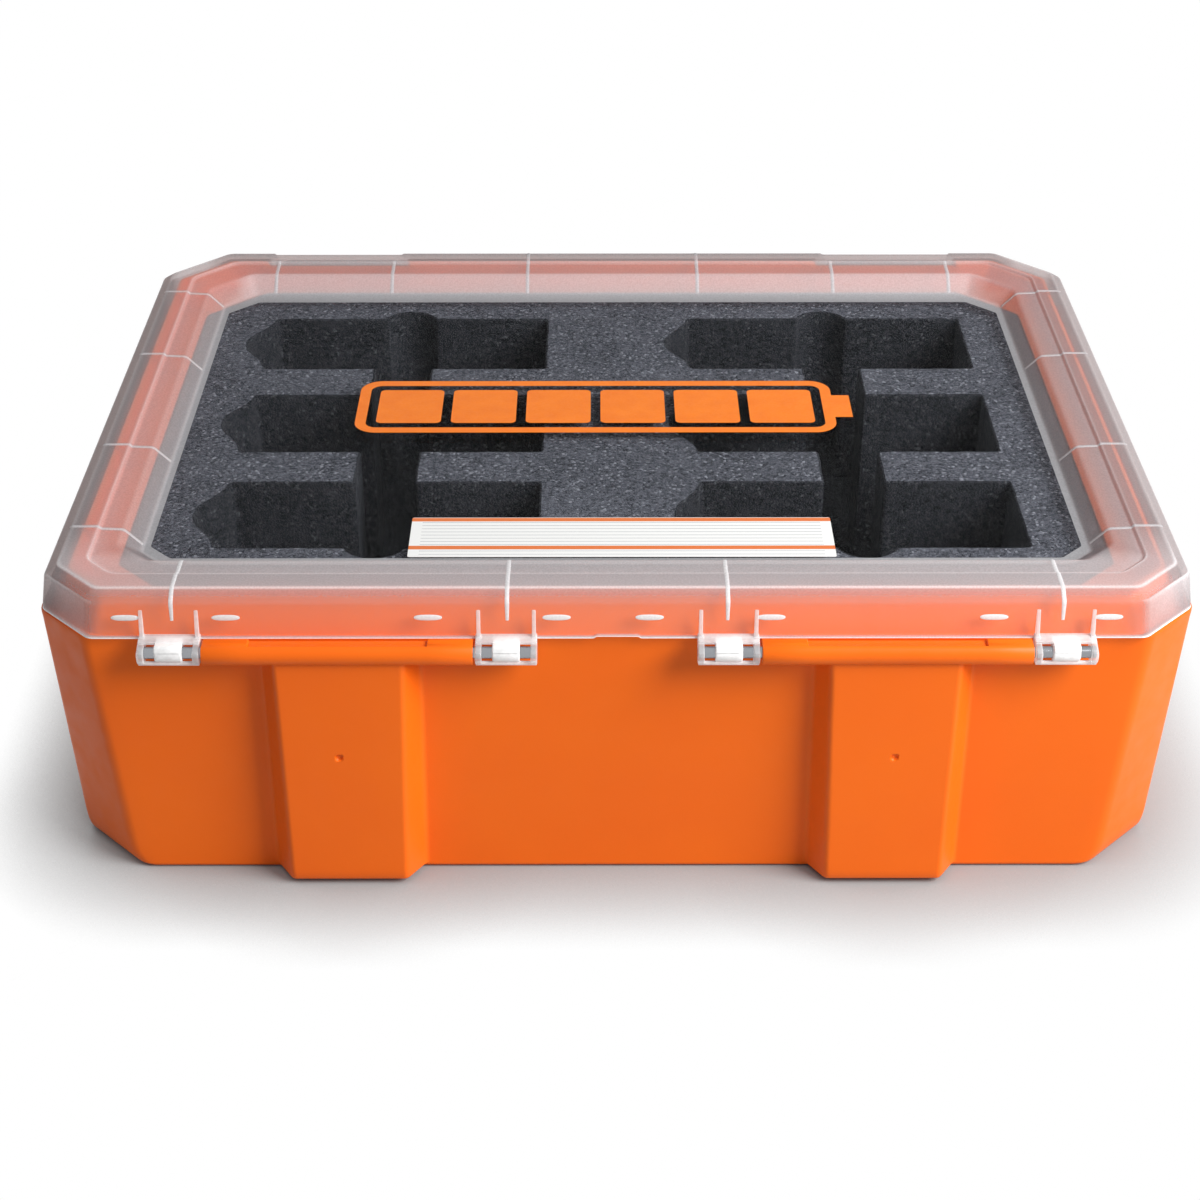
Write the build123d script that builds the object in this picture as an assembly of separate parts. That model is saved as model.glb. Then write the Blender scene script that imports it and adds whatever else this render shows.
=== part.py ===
from build123d import *
import os
from collections import namedtuple
from math import sqrt

# Carrying case for battery packs: moulded base, clear hinged lid, foam insert, two latches, handle.
# Millimetres. X runs along the case, Y from the hinge side to the handle side, Z up.
# The origin is the centre of the flat underside on which the case stands.

# Lid outline at its flange edge, with the corners cut at 45 degrees
LID_LENGTH = 508.0
LID_WIDTH = 381.0
FRONT_CUT = 23.6
BACK_CUT = 31.8
LID_WALL = 3.0

# Lid section: each size is an inset from the flange edge or a height above or below it
FLANGE_Z = 148.0
SKIRT_DROP = 17.0
SKIRT_FLARE = 2.7
BEVEL_INSET = 6.0
BEVEL_RISE = 4.4
CREASE_INSET = 18.0
CREASE_STEP = 1.2
DISH_INSET_X = 29.5
DISH_INSET_Y = 32.0
DISH_BRINK_RISE = 2.4
WINDOW_DROP = 6.0
DISH_FRONT_CUT = 14.0
DISH_BACK_CUT = 21.0

# Base walls
BASE_WALL = 3.5
BASE_FLOOR = 4.0
WALL_INSET_X = -4.0
WALL_INSET_Y = 0.6
WALL_DRAFT_X = 5.6
WALL_DRAFT_Y = 2.5
BOTTOM_FRONT_CUT = 27.5
BOTTOM_BACK_CUT = 35.7
SKIRT_GAP = 1.0
RIM_FOOT_INSET = 2.0
RIM_TOP_INSET = 9.0
RIM_DROP = 1.6
LAND_INSET = 13.0
LEDGE_INSET = 27.0
LEDGE_DROP = 11.0
LEDGE_THICKNESS = 3.0
LIP_INSET = 10.0
LIP_WIDTH = 2.0
LID_REST_GAP = 0.2
FIN_THICKNESS = 2.5
FIN_PITCH_X = 96.0
FIN_PITCH_Y = 102.0
CORNER_RADIUS = 9.0
BOTTOM_RADIUS = 4.0

# Hinge on the front side
BARREL_OVERLAP_Y = 0.2
BARREL_OVERLAP_Z = 1.7
KNUCKLE_WIDTH = 27.0
KNUCKLE_FROM_END = 58.6
KNUCKLE_FROM_CENTRE = 48.5
KNUCKLE_GAP = 1.0
EAR_THICKNESS = 2.8
EAR_RADIUS = 5.2
HOOK_WIDTH = 12.0
BARREL_RADIUS = 5.5
BARREL_TOP = 4.6
BARREL_SHOULDER = 4.3
HINGE_ROD_RADIUS = 2.75
BARREL_SLOT_LENGTH = 77.5
BARREL_SLOT_REACH = 2.1
ROD_COVER = 0.55
WEB_HEIGHT = 6.5

# Pillars under the hinge barrels, on which the case stands when it is carried
PILLAR_FACE_TOP = 57.0
PILLAR_FACE_BOTTOM = 53.0
PILLAR_DEPTH = 11.0
PILLAR_SPREAD = 0.6
PILLAR_GROUND_GAP = 2.6
DIMPLE_RADIUS = 1.8
DIMPLE_DEPTH = 1.2
DIMPLE_DROP = 75.6
DIMPLE_OFFSET = 2.4

# Foam insert
FOAM_GAP = 0.7
FOAM_FRONT_CUT = 24.0
FOAM_BACK_CUT = 30.0
FOAM_TOP_DROP = 10.5
POCKET_DEPTH = 100.0
POCKET_EDGE_LEFT = 27.5
POCKET_EDGE_RIGHT = 35.1
POCKET_EDGE_Y = 37.5
POCKET_WEB_X = 65.3
POCKET_WEB_Y = 32.3
NOSE_LENGTH = 11.8
NOSE_WIDTH = 25.0
CHANNEL_WIDTH = 29.0
CHANNEL_OVERRUN = 9.4

# Latches on the back side of the lid
LATCH_WIDTH = 65.0
LATCH_FROM_END = 97.0
LATCH_AXIS_DROP = 7.5
LATCH_AXIS_REACH = 0.5
LATCH_BARREL_RADIUS = 4.2
LATCH_LENGTH = 46.5
LATCH_PLATE = 3.4
LATCH_PIN_RADIUS = 1.5
LATCH_EAR = 3.8
LATCH_EAR_GAP = 0.7
NOTCH_DEPTH = 7.6
RECESS_DEPTH = 11.0
RECESS_DROP = 62.0
RECESS_GAP = 0.8
CATCH_DROP = 32.0
CATCH_HEIGHT = 3.0
CATCH_REACH = 6.5
BEAD_CLEARANCE = 0.4
BEAD_HEIGHT = 3.5

# Handle on the back wall of the base
HANDLE_FROM_LATCH = 36.5
HANDLE_AXIS_DROP = 36.0
HANDLE_AXIS_REACH = 8.5
HANDLE_LENGTH = 58.0
HANDLE_LUG = 4.5
HANDLE_ARM = 8.0
HANDLE_ARM_DEPTH = 12.0
HANDLE_SIDE_GAP = 0.4
HANDLE_BOSS_RADIUS = 7.0
HANDLE_PIN_RADIUS = 2.5
GRIP_DEPTH = 19.0
GRIP_HEIGHT = 24.0
GRIP_ROUND = 8.0

# Running clearance of every pin in the piece that turns on it
PIN_CLEARANCE = 0.05

# Print and label on the window
PRINT_THICKNESS = 0.15
EMBLEM_LENGTH = 252.0
EMBLEM_HEIGHT = 58.0
EMBLEM_CENTRE = (-5.0, 9.3)
EMBLEM_LINE = 5.5
EMBLEM_TERMINAL = 9.0
EMBLEM_CELLS = 6
EMBLEM_GAP = 5.0
LABEL_LENGTH = 195.0
LABEL_WIDTH = 36.0
LABEL_FRONT_EDGE = 48.5
LABEL_OFFSET_X = 2.5

# Values worked out from the sizes above
HINGE_OUT = BARREL_RADIUS - BARREL_OVERLAP_Y
HINGE_UNDER = BARREL_RADIUS - BARREL_OVERLAP_Z
HINGE_Y = -(LID_WIDTH / 2 + SKIRT_FLARE + HINGE_OUT)
HINGE_Z = FLANGE_Z - SKIRT_DROP - HINGE_UNDER
OUTER_KNUCKLE_X = LID_LENGTH / 2 - KNUCKLE_FROM_END
BARREL_START = KNUCKLE_FROM_CENTRE + KNUCKLE_WIDTH / 2 + KNUCKLE_GAP
BARREL_END = OUTER_KNUCKLE_X - KNUCKLE_WIDTH / 2 - KNUCKLE_GAP
BARREL_X = (BARREL_START + BARREL_END) / 2
LATCH_X = LID_LENGTH / 2 - LATCH_FROM_END
LATCH_Y = LID_WIDTH / 2 + LATCH_AXIS_REACH
LATCH_Z = FLANGE_Z - LATCH_AXIS_DROP
NOTCH_HALF = LATCH_WIDTH / 2 + LATCH_EAR_GAP + LATCH_EAR
RECESS_HALF = NOTCH_HALF + LID_WALL + RECESS_GAP
RECESS_Y = LID_WIDTH / 2 - RECESS_DEPTH
HANDLE_HALF = LATCH_X - NOTCH_HALF - HANDLE_FROM_LATCH
HANDLE_Y = LID_WIDTH / 2 + HANDLE_AXIS_REACH
HANDLE_Z = FLANGE_Z - HANDLE_AXIS_DROP
WALL_TOP = -(SKIRT_DROP + SKIRT_GAP)
FOAM_TOP = FLANGE_Z - FOAM_TOP_DROP
FOAM_SEAM = FOAM_TOP - POCKET_DEPTH
FOAM_HALF_X = LID_LENGTH / 2 - LEDGE_INSET - FOAM_GAP
FOAM_HALF_Y = LID_WIDTH / 2 - LEDGE_INSET - FOAM_GAP
POCKET_ROOM = 2 * FOAM_HALF_X - POCKET_EDGE_LEFT - POCKET_EDGE_RIGHT - POCKET_WEB_X
POCKET_LENGTH = POCKET_ROOM / 2 - NOSE_LENGTH
LEFT_COLUMN_X = -FOAM_HALF_X + POCKET_EDGE_LEFT + NOSE_LENGTH + POCKET_LENGTH / 2
RIGHT_COLUMN_X = FOAM_HALF_X - POCKET_EDGE_RIGHT - POCKET_LENGTH / 2
POCKET_WIDTH = (2 * FOAM_HALF_Y - 2 * POCKET_EDGE_Y - 2 * POCKET_WEB_Y) / 3
WINDOW_Z = FLANGE_Z - WINDOW_DROP

# One level of a stacked outline: insets from the lid's edge, height over the flange, corner cuts
Level = namedtuple("Level", "inset_x inset_y rise front_cut back_cut")


def level(inset, rise, inset_y=None, front_cut=None, back_cut=None):
    """A level whose corner cuts follow a parallel offset of the lid's edge, unless they are given."""
    shrink = (2 - sqrt(2)) * inset
    return Level(
        inset,
        inset if inset_y is None else inset_y,
        rise,
        FRONT_CUT - shrink if front_cut is None else front_cut,
        BACK_CUT - shrink if back_cut is None else back_cut,
    )


def outline(at):
    """Closed eight-sided wire at one level."""
    x = LID_LENGTH / 2 - at.inset_x
    y = LID_WIDTH / 2 - at.inset_y
    front = at.front_cut
    back = at.back_cut
    corners = [
        (-x, front - y),
        (front - x, -y),
        (x - front, -y),
        (x, front - y),
        (x, y - back),
        (x - back, y),
        (back - x, y),
        (-x, y - back),
    ]
    return Wire.make_polygon([(px, py, FLANGE_Z + at.rise) for px, py in corners], close=True)


def stack(*levels):
    """Solid with flat faces between successive levels."""
    return Solid.make_loft([outline(at) for at in levels], ruled=True)


def block(x0, x1, y0, y1, z0, z1):
    """Box between two opposite corners."""
    return Pos((x0 + x1) / 2, (y0 + y1) / 2, (z0 + z1) / 2) * Box(x1 - x0, y1 - y0, z1 - z0)


def rod(x0, x1, y, z, radius):
    """Round bar along X."""
    return Solid.make_cylinder(radius, x1 - x0, Plane(origin=(x0, y, z), z_dir=(1, 0, 0)))


def bar(points, x0, x1):
    """Bar along X whose section is a polygon of (y, z) points."""
    section = Face(Wire.make_polygon([(x0, y, z) for y, z in points], close=True))
    return Solid.extrude(section, Vector(x1 - x0, 0, 0))


def both_sides(shape):
    """The shape and its mirror image across the case's middle plane."""
    return [shape, shape.mirror(Plane.YZ)]


def wall_y(z):
    """Half width of the base's outer wall at height z above the floor."""
    share = z / (FLANGE_Z + WALL_TOP)
    return LID_WIDTH / 2 - WALL_INSET_Y - WALL_DRAFT_Y * (1 - share)


def wall_bottom(depth, rise, less_cut=0.0):
    """The level of the base's walls at their foot, at a depth below their outer face."""
    inset_x = WALL_INSET_X + WALL_DRAFT_X + depth
    inset_y = WALL_INSET_Y + WALL_DRAFT_Y + depth
    return level(inset_x, rise, inset_y, BOTTOM_FRONT_CUT - less_cut, BOTTOM_BACK_CUT - less_cut)


def wall_top(depth, rise):
    """The level of the base's walls at their top, at a depth below their outer face."""
    edge = level(WALL_INSET_Y + depth, rise)
    return edge._replace(inset_x=WALL_INSET_X + depth)


def notch_block(x_half, y, top):
    """Tool that sets the back of the lid's flange back over one latch, parallel to its flare."""
    lean = SKIRT_FLARE / SKIRT_DROP
    deep = SKIRT_DROP + 5
    far = LID_WIDTH / 2 + 20
    section = [
        (y - lean * top, FLANGE_Z + top),
        (far, FLANGE_Z + top),
        (far, FLANGE_Z - deep),
        (y + lean * deep, FLANGE_Z - deep),
    ]
    return bar(section, LATCH_X - x_half, LATCH_X + x_half)


def lid_skin():
    """Lid without its hinge: flared skirt, bevel, crowned ring and the sunk window."""
    wall = LID_WALL
    slant = 1.24 * wall / 3
    top = 10.0
    outer = stack(level(-SKIRT_FLARE, -SKIRT_DROP), level(0, 0), level(BEVEL_INSET, BEVEL_RISE))
    cuts = {"front_cut": DISH_FRONT_CUT, "back_cut": DISH_BACK_CUT}
    foot = DISH_INSET_X + DISH_BRINK_RISE + WINDOW_DROP
    foot_y = foot + DISH_INSET_Y - DISH_INSET_X + 1.5
    dish = stack(
        level(CREASE_INSET, BEVEL_RISE + top),
        level(CREASE_INSET, BEVEL_RISE),
        level(CREASE_INSET + CREASE_STEP, BEVEL_RISE - CREASE_STEP),
        level(DISH_INSET_X, DISH_BRINK_RISE, DISH_INSET_Y, **cuts),
        level(foot, -WINDOW_DROP, foot_y, DISH_FRONT_CUT - 3, DISH_BACK_CUT - 5),
    )
    hollow = stack(
        level(wall - SKIRT_FLARE - 0.1, -SKIRT_DROP - 1),
        level(wall - 0.1, -wall / 2),
        level(BEVEL_INSET + wall / 2, BEVEL_RISE - wall),
    )
    plug = stack(
        level(CREASE_INSET, BEVEL_RISE),
        level(CREASE_INSET, BEVEL_RISE - wall),
        level(CREASE_INSET + CREASE_STEP - slant / 2, BEVEL_RISE - CREASE_STEP - wall),
        level(DISH_INSET_X - slant, DISH_BRINK_RISE - wall, DISH_INSET_Y - slant, **cuts),
        level(foot - slant, -WINDOW_DROP - wall, foot_y - slant, DISH_FRONT_CUT - 3, DISH_BACK_CUT - 5),
    )
    notch_y = LID_WIDTH / 2 - NOTCH_DEPTH
    skin = outer - both_sides(notch_block(NOTCH_HALF, notch_y, top)) - dish
    inside = hollow - both_sides(notch_block(NOTCH_HALF + wall, notch_y - wall, top)) - plug
    return skin - inside


def knuckle(x):
    """One of the lid's hinge knuckles: two ears, a hook over the rod, a shelf and a tie bar."""
    half = KNUCKLE_WIDTH / 2
    skirt = HINGE_OUT
    rise = HINGE_UNDER
    gusset = [(skirt + 2.1, rise + 13), (-EAR_RADIUS, 1.0), (0, -2.0), (skirt + 1.5, rise)]
    arm = [(skirt + 1.0, rise + 1.5), (-4.2, 3.9), (-4.2, -2.0), (0, -2.0), (skirt + 1.5, rise)]
    shelf = [(skirt + 1.5, rise + 1.5), (0.5, rise + 1.2), (0.5, rise - 0.3), (skirt + 1.5, rise)]

    def section(points, x0, x1):
        return bar([(HINGE_Y + y, HINGE_Z + z) for y, z in points], x0, x1)

    pieces = [section(shelf, x - half, x + half)]
    for start in (x - half, x + half - EAR_THICKNESS):
        pieces.append(section(gusset, start, start + EAR_THICKNESS))
        pieces.append(rod(start, start + EAR_THICKNESS, HINGE_Y, HINGE_Z, EAR_RADIUS))
    pieces.append(section(arm, x - HOOK_WIDTH / 2, x + HOOK_WIDTH / 2))
    pieces.append(rod(x - HOOK_WIDTH / 2, x + HOOK_WIDTH / 2, HINGE_Y, HINGE_Z, EAR_RADIUS - 1))
    pieces.append(rod(x - half, x + half, HINGE_Y - 2.2, HINGE_Z - EAR_RADIUS + 1.1, 0.9))
    return pieces


def latch_ears():
    """The pair of ears in one notch of the lid that hold the latch's pin."""
    y = LID_WIDTH / 2 - NOTCH_DEPTH
    radius = LATCH_BARREL_RADIUS + 0.3
    web = [
        (y - 1.5, FLANGE_Z - 1),
        (LATCH_Y, LATCH_Z + radius),
        (LATCH_Y, LATCH_Z - radius),
        (y + 0.5, LATCH_Z - radius - 2),
    ]
    pieces = []
    for side in (-1, 1):
        inner = LATCH_X + side * (LATCH_WIDTH / 2 + LATCH_EAR_GAP)
        outer = LATCH_X + side * NOTCH_HALF
        start, end = min(inner, outer), max(inner, outer)
        pieces.append(bar(web, start, end))
        pieces.append(rod(start, end, LATCH_Y, LATCH_Z, radius))
    return pieces


def lid_shell():
    """The clear lid, one moulding with its four hinge knuckles and its latch ears."""
    lid = lid_skin()
    bore = HINGE_ROD_RADIUS + PIN_CLEARANCE
    for x in (KNUCKLE_FROM_CENTRE, OUTER_KNUCKLE_X):
        for piece in knuckle(x):
            lid = lid + both_sides(piece)
    for piece in latch_ears():
        lid = lid + both_sides(piece)
    hinge_bore = rod(-LID_LENGTH / 2, LID_LENGTH / 2, HINGE_Y, HINGE_Z, bore)
    latch_bore = rod(LATCH_X - NOTCH_HALF, LATCH_X + NOTCH_HALF, LATCH_Y, LATCH_Z, LATCH_PIN_RADIUS)
    return lid - hinge_bore - both_sides(latch_bore)


def pillar(x, wall):
    """Trapezoid pillar on the front wall, or its hollow when wall is a thickness."""
    face_y = -(LID_WIDTH / 2 - WALL_INSET_Y + PILLAR_DEPTH) + wall
    root_y = -(LID_WIDTH / 2 - 2 * BASE_WALL) + 3 * wall
    flank = PILLAR_SPREAD * (root_y - face_y)
    narrower = wall * (sqrt(1 + PILLAR_SPREAD**2) - PILLAR_SPREAD)
    top = HINGE_Z - wall
    low = PILLAR_GROUND_GAP + wall

    def ring(width, z, push=0.0):
        half = width / 2 - narrower
        corners = [
            (x - half - flank, root_y),
            (x - half, face_y + push),
            (x + half, face_y + push),
            (x + half + flank, root_y),
        ]
        return Wire.make_polygon([(px, py, z) for px, py in corners], close=True)

    toe = 6.0
    body = Solid.make_loft([ring(PILLAR_FACE_BOTTOM, low + toe), ring(PILLAR_FACE_TOP, top)], ruled=True)
    foot = Solid.make_loft(
        [ring(PILLAR_FACE_BOTTOM - 4, low, toe / 4), ring(PILLAR_FACE_BOTTOM, low + toe)], ruled=True
    )
    return body + foot


def base_outside():
    """The base's outer shape as a solid, with its corners and underside edge rounded."""
    body = stack(wall_bottom(0, -FLANGE_Z), wall_top(0, WALL_TOP))
    upright = [edge for edge in body.edges() if abs(edge.tangent_at(0.5).Z) > 0.9]
    body = fillet(upright, CORNER_RADIUS)
    body = fillet(body.faces().sort_by(Axis.Z)[0].edges(), BOTTOM_RADIUS)
    return body + stack(level(RIM_FOOT_INSET, WALL_TOP), level(RIM_TOP_INSET, -RIM_DROP))


def foam_level(inset, rise):
    """A level parallel to the foam's edge, whose corners are cut further than the lid's."""
    grow = (2 - sqrt(2)) * (LEDGE_INSET + FOAM_GAP - inset)
    return level(inset, rise, front_cut=FOAM_FRONT_CUT + grow, back_cut=FOAM_BACK_CUT + grow)


def base_cavity():
    """The space inside the base: tub, neck, the channel in the rim's land, and the mouth for the foam."""
    tub = stack(wall_bottom(BASE_WALL, BASE_FLOOR - FLANGE_Z, 2), wall_top(BASE_WALL, WALL_TOP - BASE_WALL))
    under_ledge = -(LEDGE_DROP + LEDGE_THICKNESS)
    under_land = -(RIM_DROP + LEDGE_THICKNESS)
    core_inset = LAND_INSET - LEDGE_THICKNESS
    neck_foot = level(RIM_FOOT_INSET + LEDGE_THICKNESS, WALL_TOP - BASE_WALL)
    neck = stack(neck_foot, level(RIM_TOP_INSET + LEDGE_THICKNESS, under_land))
    neck = neck - stack(level(core_inset, under_ledge), level(core_inset, under_land))
    step = stack(level(LAND_INSET, -LEDGE_DROP), level(LAND_INSET, 0))
    mouth = stack(foam_level(LEDGE_INSET, under_ledge), foam_level(LEDGE_INSET, 0))
    return tub + neck + step + mouth


def foam_fins():
    """Upright fins inside the walls that centre the foam and stiffen the rim."""
    top = FLANGE_Z - LEDGE_DROP - LEDGE_THICKNESS
    x_in = LID_LENGTH / 2 - LEDGE_INSET
    y_in = LID_WIDTH / 2 - LEDGE_INSET
    x_out = LID_LENGTH / 2
    y_out = LID_WIDTH / 2
    middle = BASE_WALL / 2
    neck_middle = LEDGE_THICKNESS / 2
    reach = stack(wall_bottom(middle, middle - FLANGE_Z, 1), wall_top(middle, WALL_TOP - middle))
    reach = reach + stack(
        level(RIM_FOOT_INSET + neck_middle, WALL_TOP - middle), level(RIM_TOP_INSET + neck_middle, -RIM_DROP)
    )
    half = FIN_THICKNESS / 2
    fins = []
    for x in (FIN_PITCH_X / 2, 3 * FIN_PITCH_X / 2):
        fins += both_sides(block(x - half, x + half, -y_out, -y_in, BASE_FLOOR, top))
        fins += both_sides(block(x - half, x + half, y_in, y_out, BASE_FLOOR, top))
    for y in (-FIN_PITCH_Y / 2, FIN_PITCH_Y / 2):
        fins += both_sides(block(x_in, x_out, y - half, y + half, BASE_FLOOR, top))
    return [fin & reach for fin in fins]


def hinge_barrel():
    """One of the base's long hinge barrels, flat and slotted along its top, on a web from the wall."""
    barrel = rod(BARREL_START, BARREL_END, HINGE_Y, HINGE_Z, BARREL_RADIUS)
    top = HINGE_Z + BARREL_TOP
    shoulder = block(BARREL_START, BARREL_END, HINGE_Y, HINGE_Y + BARREL_SHOULDER, HINGE_Z, top)
    front, back = HINGE_Y - BARREL_RADIUS, HINGE_Y + BARREL_RADIUS
    over = block(BARREL_START, BARREL_END, front, back, top, HINGE_Z + BARREL_RADIUS)
    wall = -wall_y(HINGE_Z)
    web_top = HINGE_Z + HINGE_UNDER / 2
    web = block(BARREL_START, BARREL_END, HINGE_Y, wall + 1.5, web_top - WEB_HEIGHT, web_top)
    half = BARREL_SLOT_LENGTH / 2
    slot = block(
        BARREL_X - half, BARREL_X + half, HINGE_Y - BARREL_SLOT_REACH, wall,
        HINGE_Z + HINGE_ROD_RADIUS + ROD_COVER, HINGE_Z + BARREL_RADIUS
    )
    return barrel + web + shoulder - over - slot


def latch_recess(grow):
    """Pocket in the base's back wall behind one latch, or the same grown by a wall's thickness."""
    half = RECESS_HALF + grow
    low = FLANGE_Z - RECESS_DROP - grow
    return block(LATCH_X - half, LATCH_X + half, RECESS_Y - grow, LID_WIDTH / 2 + 20, low, FLANGE_Z + 5)


def handle_lugs():
    """The two lugs that hold one of the handle's pins."""
    top = HANDLE_Z + HANDLE_BOSS_RADIUS
    low = HANDLE_Z - HANDLE_BOSS_RADIUS
    lugs = []
    inner_edge = HANDLE_HALF - HANDLE_LUG - HANDLE_ARM - 2 * HANDLE_SIDE_GAP - HANDLE_LUG
    for start in (inner_edge, HANDLE_HALF - HANDLE_LUG):
        end = start + HANDLE_LUG
        root = [(wall_y(low) - 1.5, low - 6), (HANDLE_Y, low), (HANDLE_Y, top), (wall_y(low) - 1.5, top)]
        lugs.append(bar(root, start, end))
        lugs.append(rod(start, end, HANDLE_Y, HANDLE_Z, HANDLE_BOSS_RADIUS))
    return lugs


def base_shell():
    """The moulded base: walls, floor, rim, hinge barrels, pillars, latch recesses and handle lugs."""
    wall = BASE_WALL
    shell = base_outside()
    for x in (-BARREL_X, BARREL_X):
        shell = shell + pillar(x, 0)
    shell = shell + both_sides(hinge_barrel())
    for lug in handle_lugs():
        shell = shell + both_sides(lug)
    hollow = base_cavity()
    for x in (-BARREL_X, BARREL_X):
        hollow = hollow + (pillar(x, wall) & block(x - 60, x + 60, -LID_WIDTH, 0, 0, HINGE_Z - 8))
    hollow = hollow - both_sides(latch_recess(wall))
    shell = shell - hollow
    for fin in foam_fins():
        shell = shell + fin
    shell = shell - both_sides(latch_recess(0))
    catch_z = FLANGE_Z - CATCH_DROP
    catch_half = LATCH_WIDTH / 2 - 6
    catch_tip = RECESS_Y + CATCH_REACH
    catch = block(
        LATCH_X - catch_half, LATCH_X + catch_half, RECESS_Y - 1, catch_tip, catch_z - CATCH_HEIGHT, catch_z
    )
    shell = shell + both_sides(catch)
    lip = stack(level(LIP_INSET, -RIM_DROP - 1), level(LIP_INSET, BEVEL_RISE - LID_WALL - LID_REST_GAP))
    lip_inside = stack(level(LIP_INSET + LIP_WIDTH, -RIM_DROP - 1), level(LIP_INSET + LIP_WIDTH, BEVEL_RISE))
    lip = lip - lip_inside - both_sides(latch_recess(LIP_WIDTH))
    shell = shell + lip
    shell = shell - both_sides(rod(BARREL_START, BARREL_END, HINGE_Y, HINGE_Z, HINGE_ROD_RADIUS))
    pin_reach = rod(0, HANDLE_HALF, HANDLE_Y, HANDLE_Z, HANDLE_PIN_RADIUS)
    shell = shell - both_sides(pin_reach)
    dimple_y = -(LID_WIDTH / 2 - WALL_INSET_Y + PILLAR_DEPTH)
    dimple_place = Plane(origin=(BARREL_X + DIMPLE_OFFSET, dimple_y, FLANGE_Z - DIMPLE_DROP), z_dir=(0, 1, 0))
    shell = shell - both_sides(Solid.make_cylinder(DIMPLE_RADIUS, DIMPLE_DEPTH, dimple_place))
    return shell


def hinge_rod():
    """Steel rod through one barrel and the two knuckles beside it."""
    start = KNUCKLE_FROM_CENTRE - KNUCKLE_WIDTH / 2 + 0.5
    end = OUTER_KNUCKLE_X + KNUCKLE_WIDTH / 2 - 0.5
    return rod(start, end, HINGE_Y, HINGE_Z, HINGE_ROD_RADIUS)


def foam_outline(z0, z1):
    """Solid block of the foam's plan between two heights."""
    inset = LEDGE_INSET + FOAM_GAP
    return stack(foam_level(inset, z0 - FLANGE_Z), foam_level(inset, z1 - FLANGE_Z))


def pocket(x, y):
    """One pocket with its pointed nose, cut through the upper foam layer."""
    half_x = POCKET_LENGTH / 2
    half_y = POCKET_WIDTH / 2
    low = FOAM_SEAM - 1
    high = FOAM_TOP + 1
    nose = [
        (x - half_x + 1, y - half_y * 0.9),
        (x - half_x, y - half_y * 0.8),
        (x - half_x - NOSE_LENGTH, y - NOSE_WIDTH / 4),
        (x - half_x - NOSE_LENGTH, y + NOSE_WIDTH / 4),
        (x - half_x, y + half_y * 0.8),
        (x - half_x + 1, y + half_y * 0.9),
    ]
    tip = Solid.extrude(
        Face(Wire.make_polygon([(px, py, low) for px, py in nose], close=True)), Vector(0, 0, high - low)
    )
    return block(x - half_x, x + half_x, y - half_y, y + half_y, low, high) + tip


def finger_channel(x):
    """The channel for fingers across one column of pockets, with round ends."""
    radius = CHANNEL_WIDTH / 2
    reach = FOAM_HALF_Y - POCKET_EDGE_Y + CHANNEL_OVERRUN - radius
    low = FOAM_SEAM - 1
    height = POCKET_DEPTH + 2
    channel = block(x - radius, x + radius, -reach, reach, low, low + height)
    for y in (-reach, reach):
        channel = channel + Solid.make_cylinder(radius, height, Plane(origin=(x, y, low)))
    return channel


def foam_pocket_layer():
    """Upper foam layer with two columns of three pockets."""
    foam = foam_outline(FOAM_SEAM, FOAM_TOP)
    for x in (LEFT_COLUMN_X, RIGHT_COLUMN_X):
        foam = foam - finger_channel(x)
        for row in (-1, 0, 1):
            foam = foam - pocket(x, row * (POCKET_WIDTH + POCKET_WEB_Y))
    return foam


def foam_base_pad():
    """Lower foam layer, the bottom of every pocket."""
    return foam_outline(BASE_FLOOR, FOAM_SEAM)


def latch():
    """The right latch: barrel, cover plate with a finger lip, and the bead that snaps under the catch."""
    half = LATCH_WIDTH / 2
    x0, x1 = LATCH_X - half, LATCH_X + half
    low = LATCH_Z - LATCH_LENGTH
    face = LATCH_Y + 1.0 + LATCH_PLATE / 2
    plate = [
        (LATCH_Y + LATCH_BARREL_RADIUS - 0.4, LATCH_Z),
        (face + 0.6, LATCH_Z - 12),
        (face, low + 9),
        (face + 3.0, low + 1),
        (face + 1.4, low),
        (face - LATCH_PLATE, low + 7),
        (face - LATCH_PLATE, LATCH_Z - 9),
        (LATCH_Y - LATCH_BARREL_RADIUS + 0.6, LATCH_Z),
    ]
    bead_z = FLANGE_Z - CATCH_DROP - CATCH_HEIGHT - 1.0
    bead = block(
        x0 + 8, x1 - 8, RECESS_Y + CATCH_REACH + BEAD_CLEARANCE, face - 1, bead_z - BEAD_HEIGHT, bead_z
    )
    body = rod(x0, x1, LATCH_Y, LATCH_Z, LATCH_BARREL_RADIUS) + bar(plate, x0, x1) + bead
    return body - rod(x0, x1, LATCH_Y, LATCH_Z, LATCH_PIN_RADIUS + PIN_CLEARANCE)


def latch_pin():
    """Steel pin of the right latch, held in the lid's ears."""
    return rod(LATCH_X - NOTCH_HALF + 0.4, LATCH_X + NOTCH_HALF - 0.4, LATCH_Y, LATCH_Z, LATCH_PIN_RADIUS)


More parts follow.
